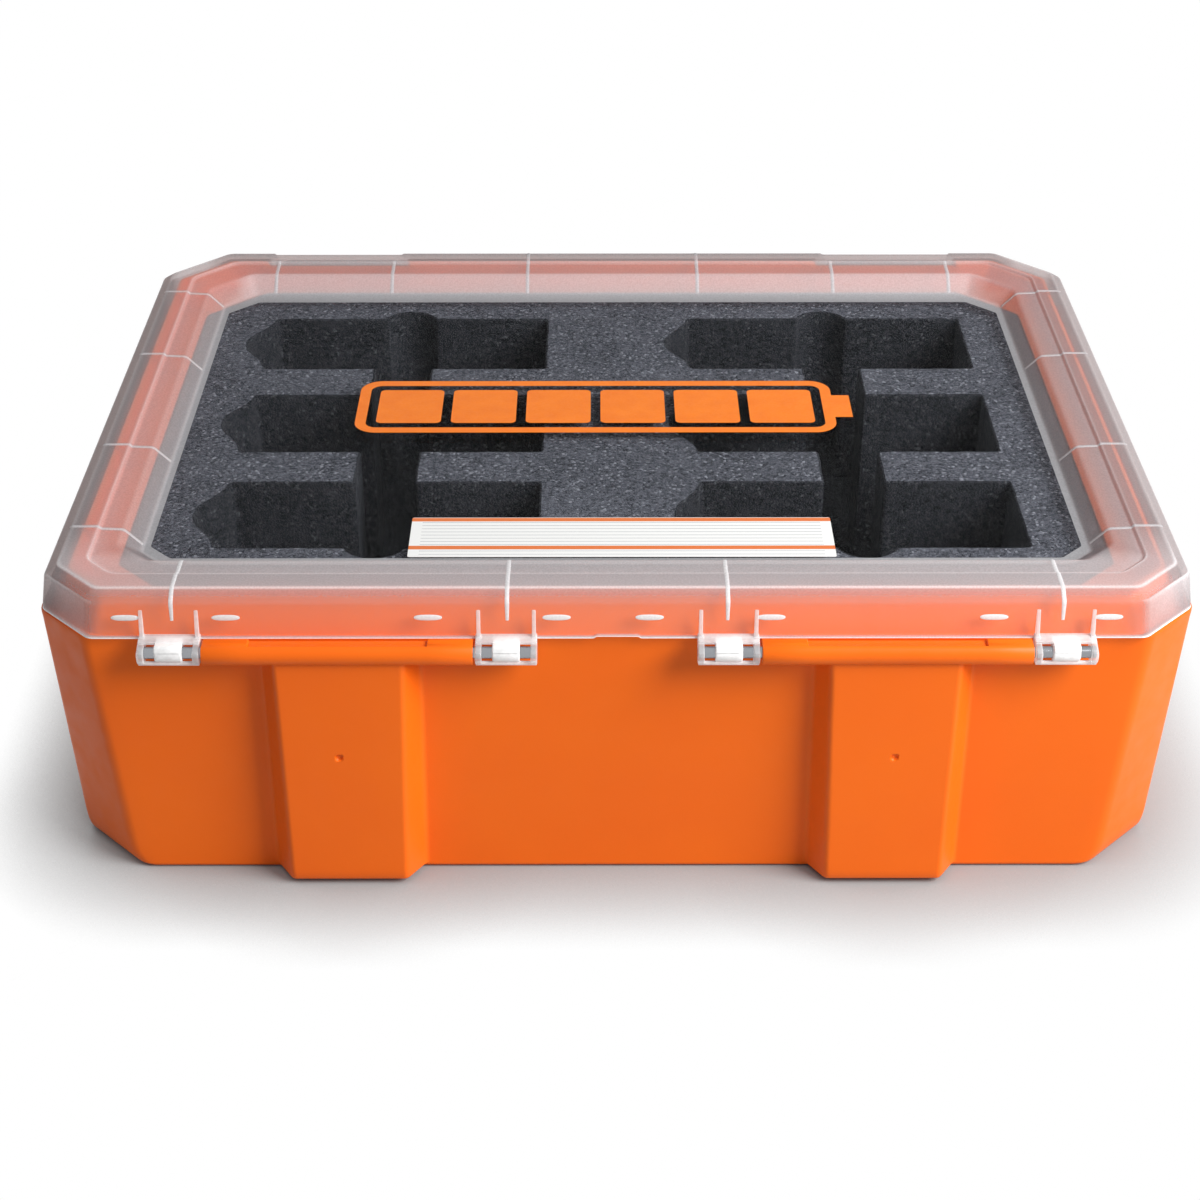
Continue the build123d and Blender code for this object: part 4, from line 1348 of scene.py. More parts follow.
@dataclass
class Lid(SubAssembly):
    """The clear lid: frosted skirt and ring, sunk clear window, ribs, pads, hinge knuckles and latch ears.

    A pair holds a size along X and along Y, or an inset and a rise, or the two ends of a span, or, for cuts, the
    front and back corners. The haze over a place is the two ends of the span where it sets in, and the gain or
    the least haze past it.
    """

    plan: Plan
    frosted: bpy.types.Material
    pane: bpy.types.Material
    block: bpy.types.Material
    # Wall in section, from the skirt's edge over the ring's crease and brink to the window
    wall: float = 3.0
    slant: float = 1.24
    skirt_drop: float = 17.0
    flare: float = 2.7
    bevel: tuple[float, float] = (6.0, 4.4)
    crease: tuple[float, float] = (18.0, 1.2)
    brink: tuple[float, float, float] = (29.5, 32.0, 2.4)
    brink_cuts: tuple[float, float] = (14.0, 21.0)
    foot: tuple[float, float] = (37.9, 41.9)
    foot_cuts: tuple[float, float] = (11.0, 16.0)
    window_drop: float = 6.0
    clear: tuple[float, float] = (41.0, 47.5)
    clear_cuts: tuple[float, float] = (10.5, 15.0)
    clear_shift: float = 4.5
    # How milky each part is
    # Painted glow: a gain in milk on the corners' skirt, brightening it as light coming through would
    corner_glow_haze: tuple[float, float, float] = (226.0, 236.0, 4.5)
    # Painted sheen: a gain in milk along the front of the ring, brightening it as the light it catches would
    front_sheen_haze: tuple[float, float, float] = (148.0, 160.0, 1.72)
    # The flanges' least haze lies under the material's darker flange tint, a painted shade
    back_haze: tuple[float, float, float] = (180.0, 184.0, 0.42)
    side_haze: tuple[float, float, float] = (246.0, 250.0, 0.42)
    side_start: tuple[float, float] = (-172.0, -166.0)
    far_haze: tuple[float, float, float] = (134.0, 142.0, 0.62)
    far_end: tuple[float, float] = (206.0, 216.0)
    under_haze: float = 0.06
    # Hazes past about 0.66 turn white: on the ribs, pads and hooks partly frost, partly a painted highlight
    front_rib_haze: float = 0.76
    ring_rib_haze: float = 0.62
    pad_haze: float = 0.8
    ear_haze: float = 0.4
    gusset_haze: float = 0.5
    hook_haze: float = 0.9
    tie_haze: float = 0.7
    latch_ear_haze: float = 0.25
    # Notches over the latches, and the relief in the front edge
    notch_x: float = 157.0
    notch_half: float = 37.0
    notch_depth: float = 7.6
    notch_round: float = 2.6
    relief_half: float = 10.5
    relief: float = 0.9
    # Ribs across the ring
    rib_width: float = 2.0
    rib_height: float = 0.35
    rib_root: float = 0.12
    rib_foot: float = 8.5
    front_ribs: tuple[float, ...] = (48.0, 194.0)
    back_ribs: tuple[float, ...] = (48.0, 124.5, 190.0)
    side_ribs: tuple[float, ...] = (-131.0, -51.0, 51.0, 131.0)
    # Pads on the front skirt, as half length, half width and height
    pad_places: tuple[float, ...] = (-214.3, -170.5, -82.5, -26.5, 14.0, 67.0, 164.0, 214.0)
    pad_drop: float = 7.2
    pad_size: tuple[float, float, float] = (6.2, 1.35, 0.45)
    pad_flatness: float = 2.5
    # Hinge knuckles; the skirt's place is measured from the hinge's axis
    knuckle_places: tuple[float, ...] = (-195.4, -48.5, 48.5, 195.4)
    knuckle_half: float = 13.5
    ear: float = 2.8
    ear_radius: float = 5.2
    hook_half: float = 6.0
    hinge_y: float = -198.5
    hinge_z: float = 127.2
    skirt_y: float = 5.3
    skirt_z: float = 3.8
    # Ears of the latches
    latch_y: float = 191.0
    latch_z: float = 140.5
    latch_ear: tuple[float, float] = (33.2, 37.0)
    latch_ear_radius: float = 4.5

    def outer_rows(self) -> list[tuple[Points, float, float]]:
        """Levels of the upper face from the skirt's edge over the ring to the clear window.

        Returns:
            Each level with its rounding and its haze.
        """
        level = self.plan.level
        inset, rise = self.bevel[0], self.bevel[1] - self.rib_height
        crease, step = self.crease
        brink_x, brink_y, brink_rise = self.brink
        return [
            (level(-self.flare, -self.skirt_drop, radius=6), 0.5, 0.07),
            (level(0, 0, radius=6), 1.3, 0.14),
            (level(inset, rise, radius=7), 1.2, 0.32),
            (level(crease, rise, radius=10), 0.5, 0.32),
            (level(crease + step, rise - step, radius=10), 0.5, 0.34),
            (level(brink_x, brink_rise, brink_y, self.brink_cuts, 7), 1.6, 0.34),
            (level(self.foot[0], -self.window_drop, self.foot[1], self.foot_cuts, 4), 0.9, 0.36),
            (level(self.clear[0], -self.window_drop, self.clear[1], self.clear_cuts, 3), 0.1, 0.5),
            (level(self.clear[0] + 1, -self.window_drop, self.clear[1] + 1, self.clear_cuts, 3), 0.1, 0.02),
        ]

    def inner_rows(self) -> list[tuple[Points, float, float]]:
        """Levels of the under face from the clear window out to the skirt's edge, a wall's thickness away.

        Returns:
            Each level with its rounding and its haze.
        """
        level, wall, slant = self.plan.level, self.wall, self.slant
        brink_x, brink_y, brink_rise = self.brink
        crease, step = self.crease
        inset, rise = self.bevel
        foot_x, foot_y = (place - slant for place in self.foot)
        window = -self.window_drop - wall
        rows = [
            (level(self.clear[0], window, self.clear[1], self.clear_cuts, 3), 0.1),
            (level(foot_x, window, foot_y, self.foot_cuts, 4), 0.9),
            (level(brink_x - slant, brink_rise - wall, brink_y - slant, self.brink_cuts, 7), 1.0),
            (level(crease + step / 2, rise - step - wall, radius=10), 0.4),
            (level(crease, rise - wall, radius=10), 0.4),
            (level(inset + wall / 2, rise - wall, radius=7), 1.0),
            (level(wall - 0.1, -wall / 2, radius=5), 1.2),
            (level(wall - self.flare, -self.skirt_drop, radius=5), 0.5),
        ]
        return [(row, rounding, self.under_haze) for row, rounding in rows]

    def layout(self) -> Layout:
        """Columns: close together at the notches' sides and at the relief in the front edge.

        Returns:
            Where the columns stand.
        """
        sides = self.notch_half - np.array([4.5, 3.2, 2.6, 2.0, 1.4, 0.8, 0.4, 0.0, -0.6, -1.2, -1.8, -2.4, -3.0])
        notch = np.concatenate([self.notch_x - sides, self.notch_x + sides])
        back = np.concatenate([np.arange(0, 112, 18.0), [135, 157, 179], notch, SPREAD])
        front = np.concatenate([[0.0, 9.0, 9.8, 10.4, 11.0, 12.0], np.arange(24.0, KNEE, 15.0), SPREAD])
        return Layout(mirrored(front), mirrored(back))

    def notched(self, grid: Points, shift: float, grow: float) -> Points:
        """Sets the back flange back over each latch, to a plane parallel to the skirt, with rounded ends.

        Args:
            grid: Points of the back columns, levels by columns.
            shift: Distance from the notch's outer plane to this face's plane.
            grow: How much wider than the notch this face's copy is.

        Returns:
            The changed points.
        """
        x, y, z = np.moveaxis(grid, 2, 0)
        lean = self.flare / self.skirt_drop
        plane = self.plan.half_width - self.notch_depth - shift - lean * (z - self.plan.flange)
        off = np.abs(np.abs(x) - self.notch_x)
        t = np.clip((off - (self.notch_half + grow - self.notch_round)) / self.notch_round, 0, 1)
        pull = np.sqrt(1 - t**2) * np.maximum(y - plane, 0) * DRAWN
        return np.stack([x, y - pull, z], axis=2)

    def path(self, rows: list[tuple[Points, float, float]], steps: int) -> Points:
        """Rounded path through a list of levels.

        Args:
            rows: Each level with its rounding and its haze.
            steps: Points on each rounding.

        Returns:
            Levels, with the haze as one more column.
        """
        corners = np.array([[*level, haze] for level, _, haze in rows])
        return rounded(corners, [rounding for _, rounding, _ in rows], steps, False, (INSET_X, HEIGHT))

    def shell(self, skin: Skin) -> None:
        """Adds the lid's wall, one closed surface from the window's under face out round the skirt and back.

        Args:
            skin: The mesh under construction.
        """
        inner, outer = (
            shouldered(self.path(rows, steps), (INSET_X, HEIGHT))
            for rows, steps in ((self.inner_rows(), 3), (self.outer_rows(), 5))
        )
        under, over = slice(0, len(inner)), slice(len(inner), None)
        levels, haze = np.hsplit(np.vstack([inner, outer]), [ROUND + 1])
        points, front, back = self.plan.ring(levels, self.layout())
        points[under, back] = self.notched(points[under, back], self.wall, self.wall)
        points[over, back] = self.notched(points[over, back], 0.0, 0.0)
        x, z = points[:, front, 0], points[:, front, 2]
        low = self.plan.flange - self.skirt_drop
        near_edge = np.clip(1 - (z - low) / 1.5, 0, 1)
        middle = 1 - ease(np.abs(x), self.relief_half - 1.6, self.relief_half)
        points[:, front, 2] += self.relief * near_edge * middle
        # The clear pane's back edge lies further forward; its rows are the first one and the last six
        for rows in (slice(0, 1), slice(-6, None)):
            y = points[rows, :, 1]
            points[rows, :, 1] = y - self.clear_shift * np.clip(y / y.max(), 0, 1)
        finish = np.zeros(len(levels) - 1, int)
        finish[0] = finish[-1] = 1
        skin.grid(points, caps=(True, True), finish=finish, haze=self.milk(points, levels, haze, over))

    def milk(self, points: Points, levels: Points, haze: Points, over: slice) -> Points:
        """How milky the wall is: each row's haze, times a gain on the corners' skirt, a painted glow, and along the
        front of the ring, a painted sheen, and at least a given haze on the flanges, under their painted shade, and
        on the ring's far wall. Painted highlights brighten its edges.

        Args:
            points: The wall's points, rows by columns.
            levels: The level of each row.
            haze: The haze of each row, as a column.
            over: The rows of the upper face.

        Returns:
            A haze from 0 to 1 for each point.
        """
        x, y, z = np.abs(points[..., 0]), points[..., 1], points[..., 2]
        # Painted glow on the corners' skirt
        start, end, gain = self.corner_glow_haze
        milk = haze * (1 + (gain - 1) * (ease(x, start, end) * (z < self.plan.flange + 0.5)) * (haze < 0.3))
        # Painted sheen along the front of the ring
        start, end, gain = self.front_sheen_haze
        milk *= 1 + (gain - 1) * ease(-y, start, end) * (haze > 0.3)
        x, y, inset = x[over], y[over], levels[over, INSET_X]
        # Least haze on the flanges, which carry the material's painted shade
        start, end, least = self.back_haze
        back = least * ease(y, start, end)
        start, end, least = self.side_haze
        side = least * ease(y, *self.side_start) * ease(x, start, end)
        start, end, least = self.far_haze
        ring_wall = (inset > self.brink[0] - 0.5) & (inset < self.clear[0] + 0.2)
        far = least * ring_wall[:, None] * (ease(y, start, end) * (1 - ease(x, *self.far_end)))
        flanges = np.maximum(np.maximum(milk[over], back), side)
        # Painted highlights along the moulded edges
        milk[over] = np.maximum(flanges + self.painted_edge_highlight(levels[over])[:, None], far)
        return np.clip(milk, 0, 1)

    def painted_edge_highlight(self, levels: Points) -> Points:
        """Painted highlights, the bright lines along the moulded edges: a narrow bell of added haze at each crease.

        Args:
            levels: Levels of the upper face.

        Returns:
            The added haze of each level.
        """
        inset, rise = levels[:, INSET_X], levels[:, HEIGHT] - self.plan.flange
        extra = np.zeros(len(levels))
        top = self.bevel[1] - self.rib_height
        crease, step = self.crease
        marks = (
            (-self.flare, -self.skirt_drop, 1.0, 0.86),
            (0.0, 0.0, 1.2, 0.04),
            (self.bevel[0], top, 1.1, 0.22),
            (crease, top, 0.8, 0.2),
            (crease + step, top - step, 0.8, 0.08),
            (self.brink[0], self.brink[2], 1.2, 0.06),
            (self.foot[0], -self.window_drop, 1.2, 0.2),
        )
        for x, z, width, amount in marks:
            extra += amount * np.exp(-((inset - x) ** 2 + (rise - z) ** 2) / width**2)
        return extra

    def surface_path(self, along_y: bool, low: float) -> Points:
        """Points of the upper face in section, from a height on the skirt over the ring to the window's foot.

        Args:
            along_y: True for a section along Y, False for one along X.
            low: The height to start from.

        Returns:
            Distance from the case's middle, and height.
        """
        path = self.path(self.outer_rows()[:-1], 5)
        column, half = (INSET_Y, self.plan.half_width) if along_y else (INSET_X, self.plan.half_length)
        section = np.stack([half - path[:, column], path[:, HEIGHT]], axis=1)
        first = int(np.argmax(section[:, 1] > low + 0.5))
        last = int(np.sum(section[:, 0] > half - self.foot[int(along_y)] + 0.6))
        if low > self.plan.flange:
            return section[first:last]
        start = np.array([[half + self.flare * (self.plan.flange - low) / self.skirt_drop, low]])
        return np.vstack([start, section[first:last]])

    def rib(
        self, skin: Skin, path: Points, across: Points, out: Points, place: float, tip: int, haze: float
    ) -> None:
        """Adds a thin rib: a half-round ridge carried along the section of the upper face.

        Args:
            skin: The mesh under construction.
            path: Points of the upper face, as distance from the middle and height.
            across: Unit vector across the rib.
            out: Unit vector from the middle of the case to its edge.
            place: Where the rib stands along the across vector.
            tip: Number of points at the start over which the rib grows to its full width.
            haze: How milky it is.
        """
        up = np.array([0.0, 0.0, 1.0])
        travel = np.gradient(path, axis=0)
        travel /= np.linalg.norm(travel, axis=1, keepdims=True)
        normal = travel[:, 1:2] * out + -travel[:, 0:1] * up
        middle = path[:, 0:1] * out + path[:, 1:2] * up + place * across
        turn = np.linspace(0, math.pi, 7)
        wide, high = np.cos(turn) * self.rib_width / 2, np.sin(turn) * self.rib_height - self.rib_root
        size = np.ones(len(path))
        size[:tip] = np.linspace(0.7, 1, tip)
        relief = wide[None, :, None] * across + high[None, :, None] * normal[:, None]
        ridge = middle[:, None] + size[:, None, None] * relief
        if np.dot(np.cross(out, across), up) > 0:
            ridge = ridge[:, ::-1]
        skin.grid(ridge, caps=(True, True), haze=haze)

    def ribs(self, skin: Skin) -> None:
        """Adds the thin ribs across the ring: down the front skirt too, and short at the back and the sides.

        Args:
            skin: The mesh under construction.
        """
        x_axis, y_axis = np.array([1.0, 0, 0]), np.array([0.0, 1, 0])
        front = self.surface_path(True, self.plan.flange - self.rib_foot)
        ring = self.plan.flange + 0.4
        back = self.surface_path(True, ring)
        side = self.surface_path(False, ring)
        for x in self.front_ribs:
            for place in (-x, x):
                self.rib(skin, front, x_axis, -y_axis, place, 2, self.front_rib_haze)
        notch_wall = self.plan.half_width - self.notch_depth
        for x in self.back_ribs:
            at_notch = x > self.notch_x - self.notch_half
            start = back[back[:, 0] < notch_wall - 0.5] if at_notch else back
            for place in (-x, x):
                self.rib(skin, start, x_axis, y_axis, place, 1, self.ring_rib_haze)
        for y in self.side_ribs:
            for hand in (-1, 1):
                self.rib(skin, side, y_axis, hand * x_axis, y, 1, self.ring_rib_haze)

    def pads(self, skin: Skin) -> None:
        """Adds the low oval pads on the front skirt.

        Args:
            skin: The mesh under construction.
        """
        length, width, height = self.pad_size
        z = self.plan.flange - self.pad_drop
        lean = self.flare / self.skirt_drop
        y = -(self.plan.half_width + lean * self.pad_drop)
        up = np.array([0.0, lean, 1.0]) / math.hypot(1, lean)
        out = np.array([0.0, -1.0, lean]) / math.hypot(1, lean)
        for x in self.pad_places:
            centre = np.array([x, y, z]) - 0.02 * out
            across = length * np.array([1.0, 0, 0])
            skin.dome(centre, across, width * up, height * out, self.pad_flatness, self.pad_haze)

    def knuckle(self, skin: Skin, x: float) -> None:
        """Adds one hinge knuckle: two ears with long gussets, a hook over the rod, a shelf and a tie bar, each a
        section in the hinge's own Y and Z that is carried along X.

        Args:
            skin: The mesh under construction.
            x: Its middle.
        """
        hinge = np.array([self.hinge_y, self.hinge_z])
        skirt, rise, half = self.skirt_y, self.skirt_z, self.knuckle_half
        ear = np.vstack([
            arc((0, 0), self.ear_radius, 155, 330, 17),
            [[skirt + 1.4, rise], [skirt + 1.5, rise + 1.8], [skirt - 2.0, rise + 1.6]],
        ])
        gusset = np.array([
            [skirt - 1.4, rise + 1.4], [skirt + 1.4, rise + 0.6],
            [skirt + 2.4, rise + 13.2], [skirt + 1.9, rise + 13.4],
        ])
        hook = np.vstack([
            arc((0, 0), self.ear_radius - 1.0, 150, 325, 14), [[skirt + 1.4, rise]],
            rounded(
                np.array([[skirt + 1.4, rise + 0.3], [1.8, rise + 0.9], [-3.0, rise + 0.8], [-4.1, 2.2]]),
                [0.1, 0.6, 1.2, 0.1], 4, False, (0, 1),
            ),
        ])
        shelf = rounded(
            np.array([[0.5, rise - 0.3], [skirt + 1.5, rise], [skirt + 1.5, rise + 1.5], [0.5, rise + 1.2]]),
            [0.5, 0.1, 0.1, 0.5], 4, True, (0, 1),
        )
        tie = arc((-2.2, 1.1 - self.ear_radius), 1.0, 0, 337, 14)
        for low in (x - half, x + half - self.ear):
            skin.bar(ear + hinge, low, low + self.ear, edge=0.5, haze=self.ear_haze)
            middle = low + self.ear / 2
            skin.bar(gusset + hinge, middle - 0.85, middle + 0.85, edge=0.35, haze=self.gusset_haze)
        skin.bar(hook + hinge, x - self.hook_half, x + self.hook_half, edge=0.7, haze=self.hook_haze)
        skin.bar(shelf + hinge, x - half + 0.2, x + half - 0.2, edge=0.3, haze=self.gusset_haze)
        skin.bar(tie + hinge, x - half + 0.2, x + half - 0.2, edge=0.3, haze=self.tie_haze)

    def latch_ears(self, skin: Skin) -> None:
        """Adds the ears that hold the latch pins: a round boss on a web from the notch's wall.

        Args:
            skin: The mesh under construction.
        """
        y = self.plan.half_width - self.notch_depth
        r = self.latch_ear_radius
        root = [[y - 1.5, self.plan.flange - 1.2], [y + 0.5, self.latch_z - r - 2]]
        section = np.vstack([arc((self.latch_y, self.latch_z), r, -90, 88, 14), root])
        for side in (-1, 1):
            for ear in (-1, 1):
                ends = sorted(side * self.notch_x + ear * place for place in self.latch_ear)
                skin.bar(section, *ends, edge=0.5, haze=self.latch_ear_haze)

    def build(self) -> None:
        """Builds the lid's frosted and clear wall, and its clear hinge and latch knuckles."""
        wall = Skin()
        self.shell(wall)
        self.ribs(wall)
        self.pads(wall)
        self.place(wall, "lid_wall", [self.frosted, self.pane], Body.LID, Slot.CLEAR, ["lid_shell"], 30.0)
        knuckles = Skin()
        for x in self.knuckle_places:
            self.knuckle(knuckles, x)
        self.latch_ears(knuckles)
        self.place(knuckles, "lid_knuckles", [self.block], Body.LID, Slot.CLEAR, ["lid_shell"])


@dataclass
class FoamInsert(SubAssembly):
    """The charcoal foam: an upper layer with two columns of three nosed pockets, and the pad below it."""

    plan: Plan
    skin: bpy.types.Material
    cut: bpy.types.Material
    # Both layers
    inset: float = 27.7
    cuts: tuple[float, float] = (24.0, 30.0)
    top: float = 137.5
    seam: float = 37.5
    floor: float = 4.0
    knee: float = 195.0
    # Pockets with their noses, and the finger channel through each column of them
    columns: tuple[float, float] = (-111.725, 115.925)
    pocket_half: tuple[float, float] = (75.275, 31.0)
    pitch: float = 94.3
    nose: tuple[float, float] = (11.8, 6.25)
    channel_half: float = 14.5
    channel_reach: float = 134.7
    # Cut walls: rounding of the upper edge, rows below the top, and how a knife's cut wanders
    edge: float = 1.1
    wall_drops: tuple[float, ...] = (8, 22, 40, 60, 80, 95)
    ripple: float = 0.22
    spacing: float = 1.6
    seed: int = 11

    def pocket_column(self, x: float) -> tuple[Points, list[float]]:
        """Outline of one hole: three pockets joined by the finger channel, which ends in a round at both ends.

        Args:
            x: Middle of the column.

        Returns:
            The corners, counter-clockwise, and how much each is rounded.
        """
        half_x, half_y = self.pocket_half
        reach, tip = self.nose
        c = self.channel_half
        centre = self.channel_reach - c
        edge = self.pitch + half_y
        swing = math.degrees(math.asin((edge - centre) / c))
        low = arc((0, -centre), c, 180 + swing, 360 - swing, 13)
        high = arc((0, centre), c, swing, 180 - swing, 13)
        right, left = [], []
        for row in (-1, 0, 1):
            y = row * self.pitch
            right += [(c, y - half_y), (half_x, y - half_y), (half_x, y + half_y), (c, y + half_y)]
            noses = [
                (-half_x + 1, y + half_y), (-half_x - 0.5, y + 0.74 * half_y), (-half_x - reach, y + tip),
                (-half_x - reach, y - tip), (-half_x - 0.5, y - 0.74 * half_y), (-half_x + 1, y - half_y),
            ]
            left = [(-c, y + half_y), *noses, (-c, y - half_y)] + left
        chain = [*low, *right[1:-1], *high, *left[1:-1]]
        radii = [0.4] * len(low) + [1.2] * len(right[1:-1]) + [0.4] * len(high)
        nose_radii = [1.2, 2.0, 5.0, 5.5, 5.5, 5.0, 2.0, 1.2]
        radii += (nose_radii * 3)[1:-1]
        return np.array(chain) + [x, 0], radii

    def waved(self, loop: Points, seed: int) -> Points:
        """Evenly spaced points on a closed loop, each moved in or out by smoothed random steps, as the cut of a
        knife in foam wanders.

        Args:
            loop: Corners of the loop, counter-clockwise.
            seed: Seed of the random steps.

        Returns:
            The new points.
        """
        closed = np.vstack([loop, loop[:1]])
        length = np.concatenate([[0], np.cumsum(np.linalg.norm(np.diff(closed, axis=0), axis=1))])
        count = int(length[-1] / self.spacing)
        at = np.linspace(0, length[-1], count, endpoint=False)
        even = np.stack([np.interp(at, length, closed[:, k]) for k in (0, 1)], axis=1)
        raw = np.random.default_rng(seed).normal(size=count)
        kernel = np.exp(-np.linspace(-2, 2, 7) ** 2)
        smooth = np.convolve(np.concatenate([raw[-3:], raw, raw[:3]]), kernel / kernel.sum(), "valid")
        return even + outward(even) * (self.ripple * smooth)[:, None]

    def walls(self, skin: Skin, loop: Points, sign: int) -> tuple[Points, Points]:
        """Adds the wall along one loop, with a rounded upper edge, and returns the loop's top and bottom edges.

        Args:
            skin: The mesh under construction.
            loop: Counter-clockwise outline of the wall.
            sign: 1 where foam is inside the loop, -1 where the loop bounds a hole.

        Returns:
            The top and bottom edges as points with three coordinates.
        """
        turn = np.linspace(0, math.pi / 2, 5)
        inset = np.concatenate([self.edge * (1 - np.sin(turn)), np.zeros(len(self.wall_drops) + 1)])[::-1]
        drop = np.concatenate([self.edge * (1 - np.cos(turn)), self.wall_drops, [self.top - self.seam]])[::-1]
        flat = loop[None] - sign * inset[:, None, None] * outward(loop)[None]
        points = stacked(flat, self.top - drop)
        skin.grid(points if sign > 0 else points[:, ::-1], finish=1)
        return points[-1], points[0]

    def build(self) -> None:
        skin = Skin()
        level = self.plan.level(self.inset, self.top - self.plan.flange, cuts=self.cuts, radius=3)
        spread = np.linspace(-190, 190, 31)
        layout = Layout(spread, spread, self.knee, 30, 5)
        outline = self.plan.ring(level[None], layout)[0][0, :, :2]
        loops = [(outline, 1)]
        for x in self.columns:
            corners, radii = self.pocket_column(x)
            loops.append((rounded(corners, radii, 5, True, (0, 1)), -1))
        edges = [self.walls(skin, self.waved(loop, self.seed + k), sign) for k, (loop, sign) in enumerate(loops)]
        for face, up in ((0, 1), (1, -1)):
            rings = [pair[face] for pair in edges]
            triangles = np.array(tessellate_polygon([[tuple(p) for p in ring] for ring in rings]))
            points = np.vstack(rings)
            a, b, c = (points[triangles[:, k]] for k in range(3))
            turn = np.cross(b - a, c - a)[:, 2] * up
            triangles = triangles[np.abs(turn) > 1e-9]
            flip = (turn[np.abs(turn) > 1e-9] < 0)[:, None]
            skin.polygons(points, np.where(flip, triangles[:, ::-1], triangles))
        upper = self.place(
            skin, "foam_pockets", [self.skin, self.cut], Body.BASE, Slot.FOAM, ["foam_pocket_layer"], 45.0
        )
        self.pad()

    def pad(self) -> None:
        """Adds the lower layer: a block with rounded edges, from its underside up over its side to its top."""
        plan = self.plan
        low, high = self.floor - plan.flange, self.seam - plan.flange
        rows = [
            (60.0, low), (self.inset + 6, low), (self.inset, low), (self.inset, high),
            (self.inset + 6, high), (60.0, high),
        ]
        corners = np.array([plan.level(inset, rise, cuts=self.cuts, radius=3) for inset, rise in rows])
        path = rounded(corners, [0.1, 0.5, 1.5, 1.5, 0.5, 0.1], 4, False, (INSET_X, HEIGHT))
        spread = np.linspace(-190, 190, 15)
        points = plan.ring(path, Layout(spread, spread, self.knee, 12, 4))[0]
        skin = Skin()
        skin.grid(points, caps=(True, True))
        piece = self.place(skin, "foam_pad", [self.cut], Body.BASE, Slot.FOAM, ["foam_base_pad"])


@dataclass
class Latch(SubAssembly):
    """A snap latch: barrel round its pin, cover plate with a raised panel and grip ribs, finger lip and snap bead.

    The bead is two places in Y and two heights, and a drop is a distance below the pin.
    """

    finish: bpy.types.Material
    side: int
    middle: float = 157.0
    half: float = 32.5
    axis_y: float = 191.0
    axis_z: float = 140.5
    barrel: float = 4.2
    length: float = 46.5
    face: float = 2.7
    plate: float = 3.4
    bead: tuple[float, float, float, float] = (186.4, 192.7, 108.5, 112.0)
    bead_margin: float = 8
    grip_drops: tuple[float, ...] = (27.0, 30.5, 34.0)
    grip_half: float = 20
    panel_drop: tuple[float, float] = (14, 23)
    panel_half: float = 23

    def section(self) -> Points:
        """Outline round the barrel, down the inside of the plate, round the lip and up the outside.

        Returns:
            Counter-clockwise points of Y and Z.
        """
        low = -self.length
        over = arc((0, 0), self.barrel, 0, 180, 17)
        corners = np.array([
            [0.6 - self.barrel, 0.0], [self.face - self.plate, -9.0], [self.face - self.plate, low + 7],
            [self.face + 1.4, low], [self.face + 3.0, low + 1], [self.face + 0.4, low + 9],
            [self.face, low + 14], [self.face + 0.6, -12.0], [self.barrel - 0.4, -1.0],
        ])
        radii = [0.1, 3.0, 2.0, 1.0, 1.0, 2.5, 3.0, 3.0, 0.1]
        lower = rounded(corners, radii, 5, False, (0, 1))
        return np.vstack([over[1:-1], lower[1:]]) + [self.axis_y, self.axis_z]

    def build(self) -> None:
        """Builds the latch of its side."""
        skin = Skin()
        x = self.side * self.middle
        skin.bar(self.section(), x - self.half, x + self.half, edge=1.3, steps=4)
        y0, y1, z0, z1 = self.bead
        hook = rounded(
            np.array([[y0, z0 + 1.2], [y1, z0], [y1, z1], [y0, z1]]), [0.8, 0.1, 0.1, 0.6], 4, True, (0, 1)
        )
        skin.bar(hook, x - self.half + self.bead_margin, x + self.half - self.bead_margin)
        out = self.axis_y + self.face
        for drop in self.grip_drops:
            z = self.axis_z - drop
            rib = np.vstack([arc((out - 0.3, z), 0.95, -90, 90, 8), [[out - 1.5, z + 0.9], [out - 1.5, z - 0.9]]])
            skin.bar(rib, x - self.grip_half, x + self.grip_half, edge=0.6)
        z1, z0 = (self.axis_z - drop for drop in self.panel_drop)
        panel = rounded(
            np.array([[out - 1.0, z0], [out + 0.75, z0 + 0.6], [out + 0.9, z1 - 0.6], [out - 1.0, z1]]),
            [0.1, 0.7, 0.7, 0.1], 4, True, (0, 1),
        )
        skin.bar(panel, x - self.panel_half, x + self.panel_half, edge=1.2)
        name = "left" if self.side < 0 else "right"
        body = Body.LEFT_LATCH if self.side < 0 else Body.RIGHT_LATCH
        self.place(skin, f"snap_latch_{name}", [self.finish], body, Slot.BLACK, [f"latch_{name}"])


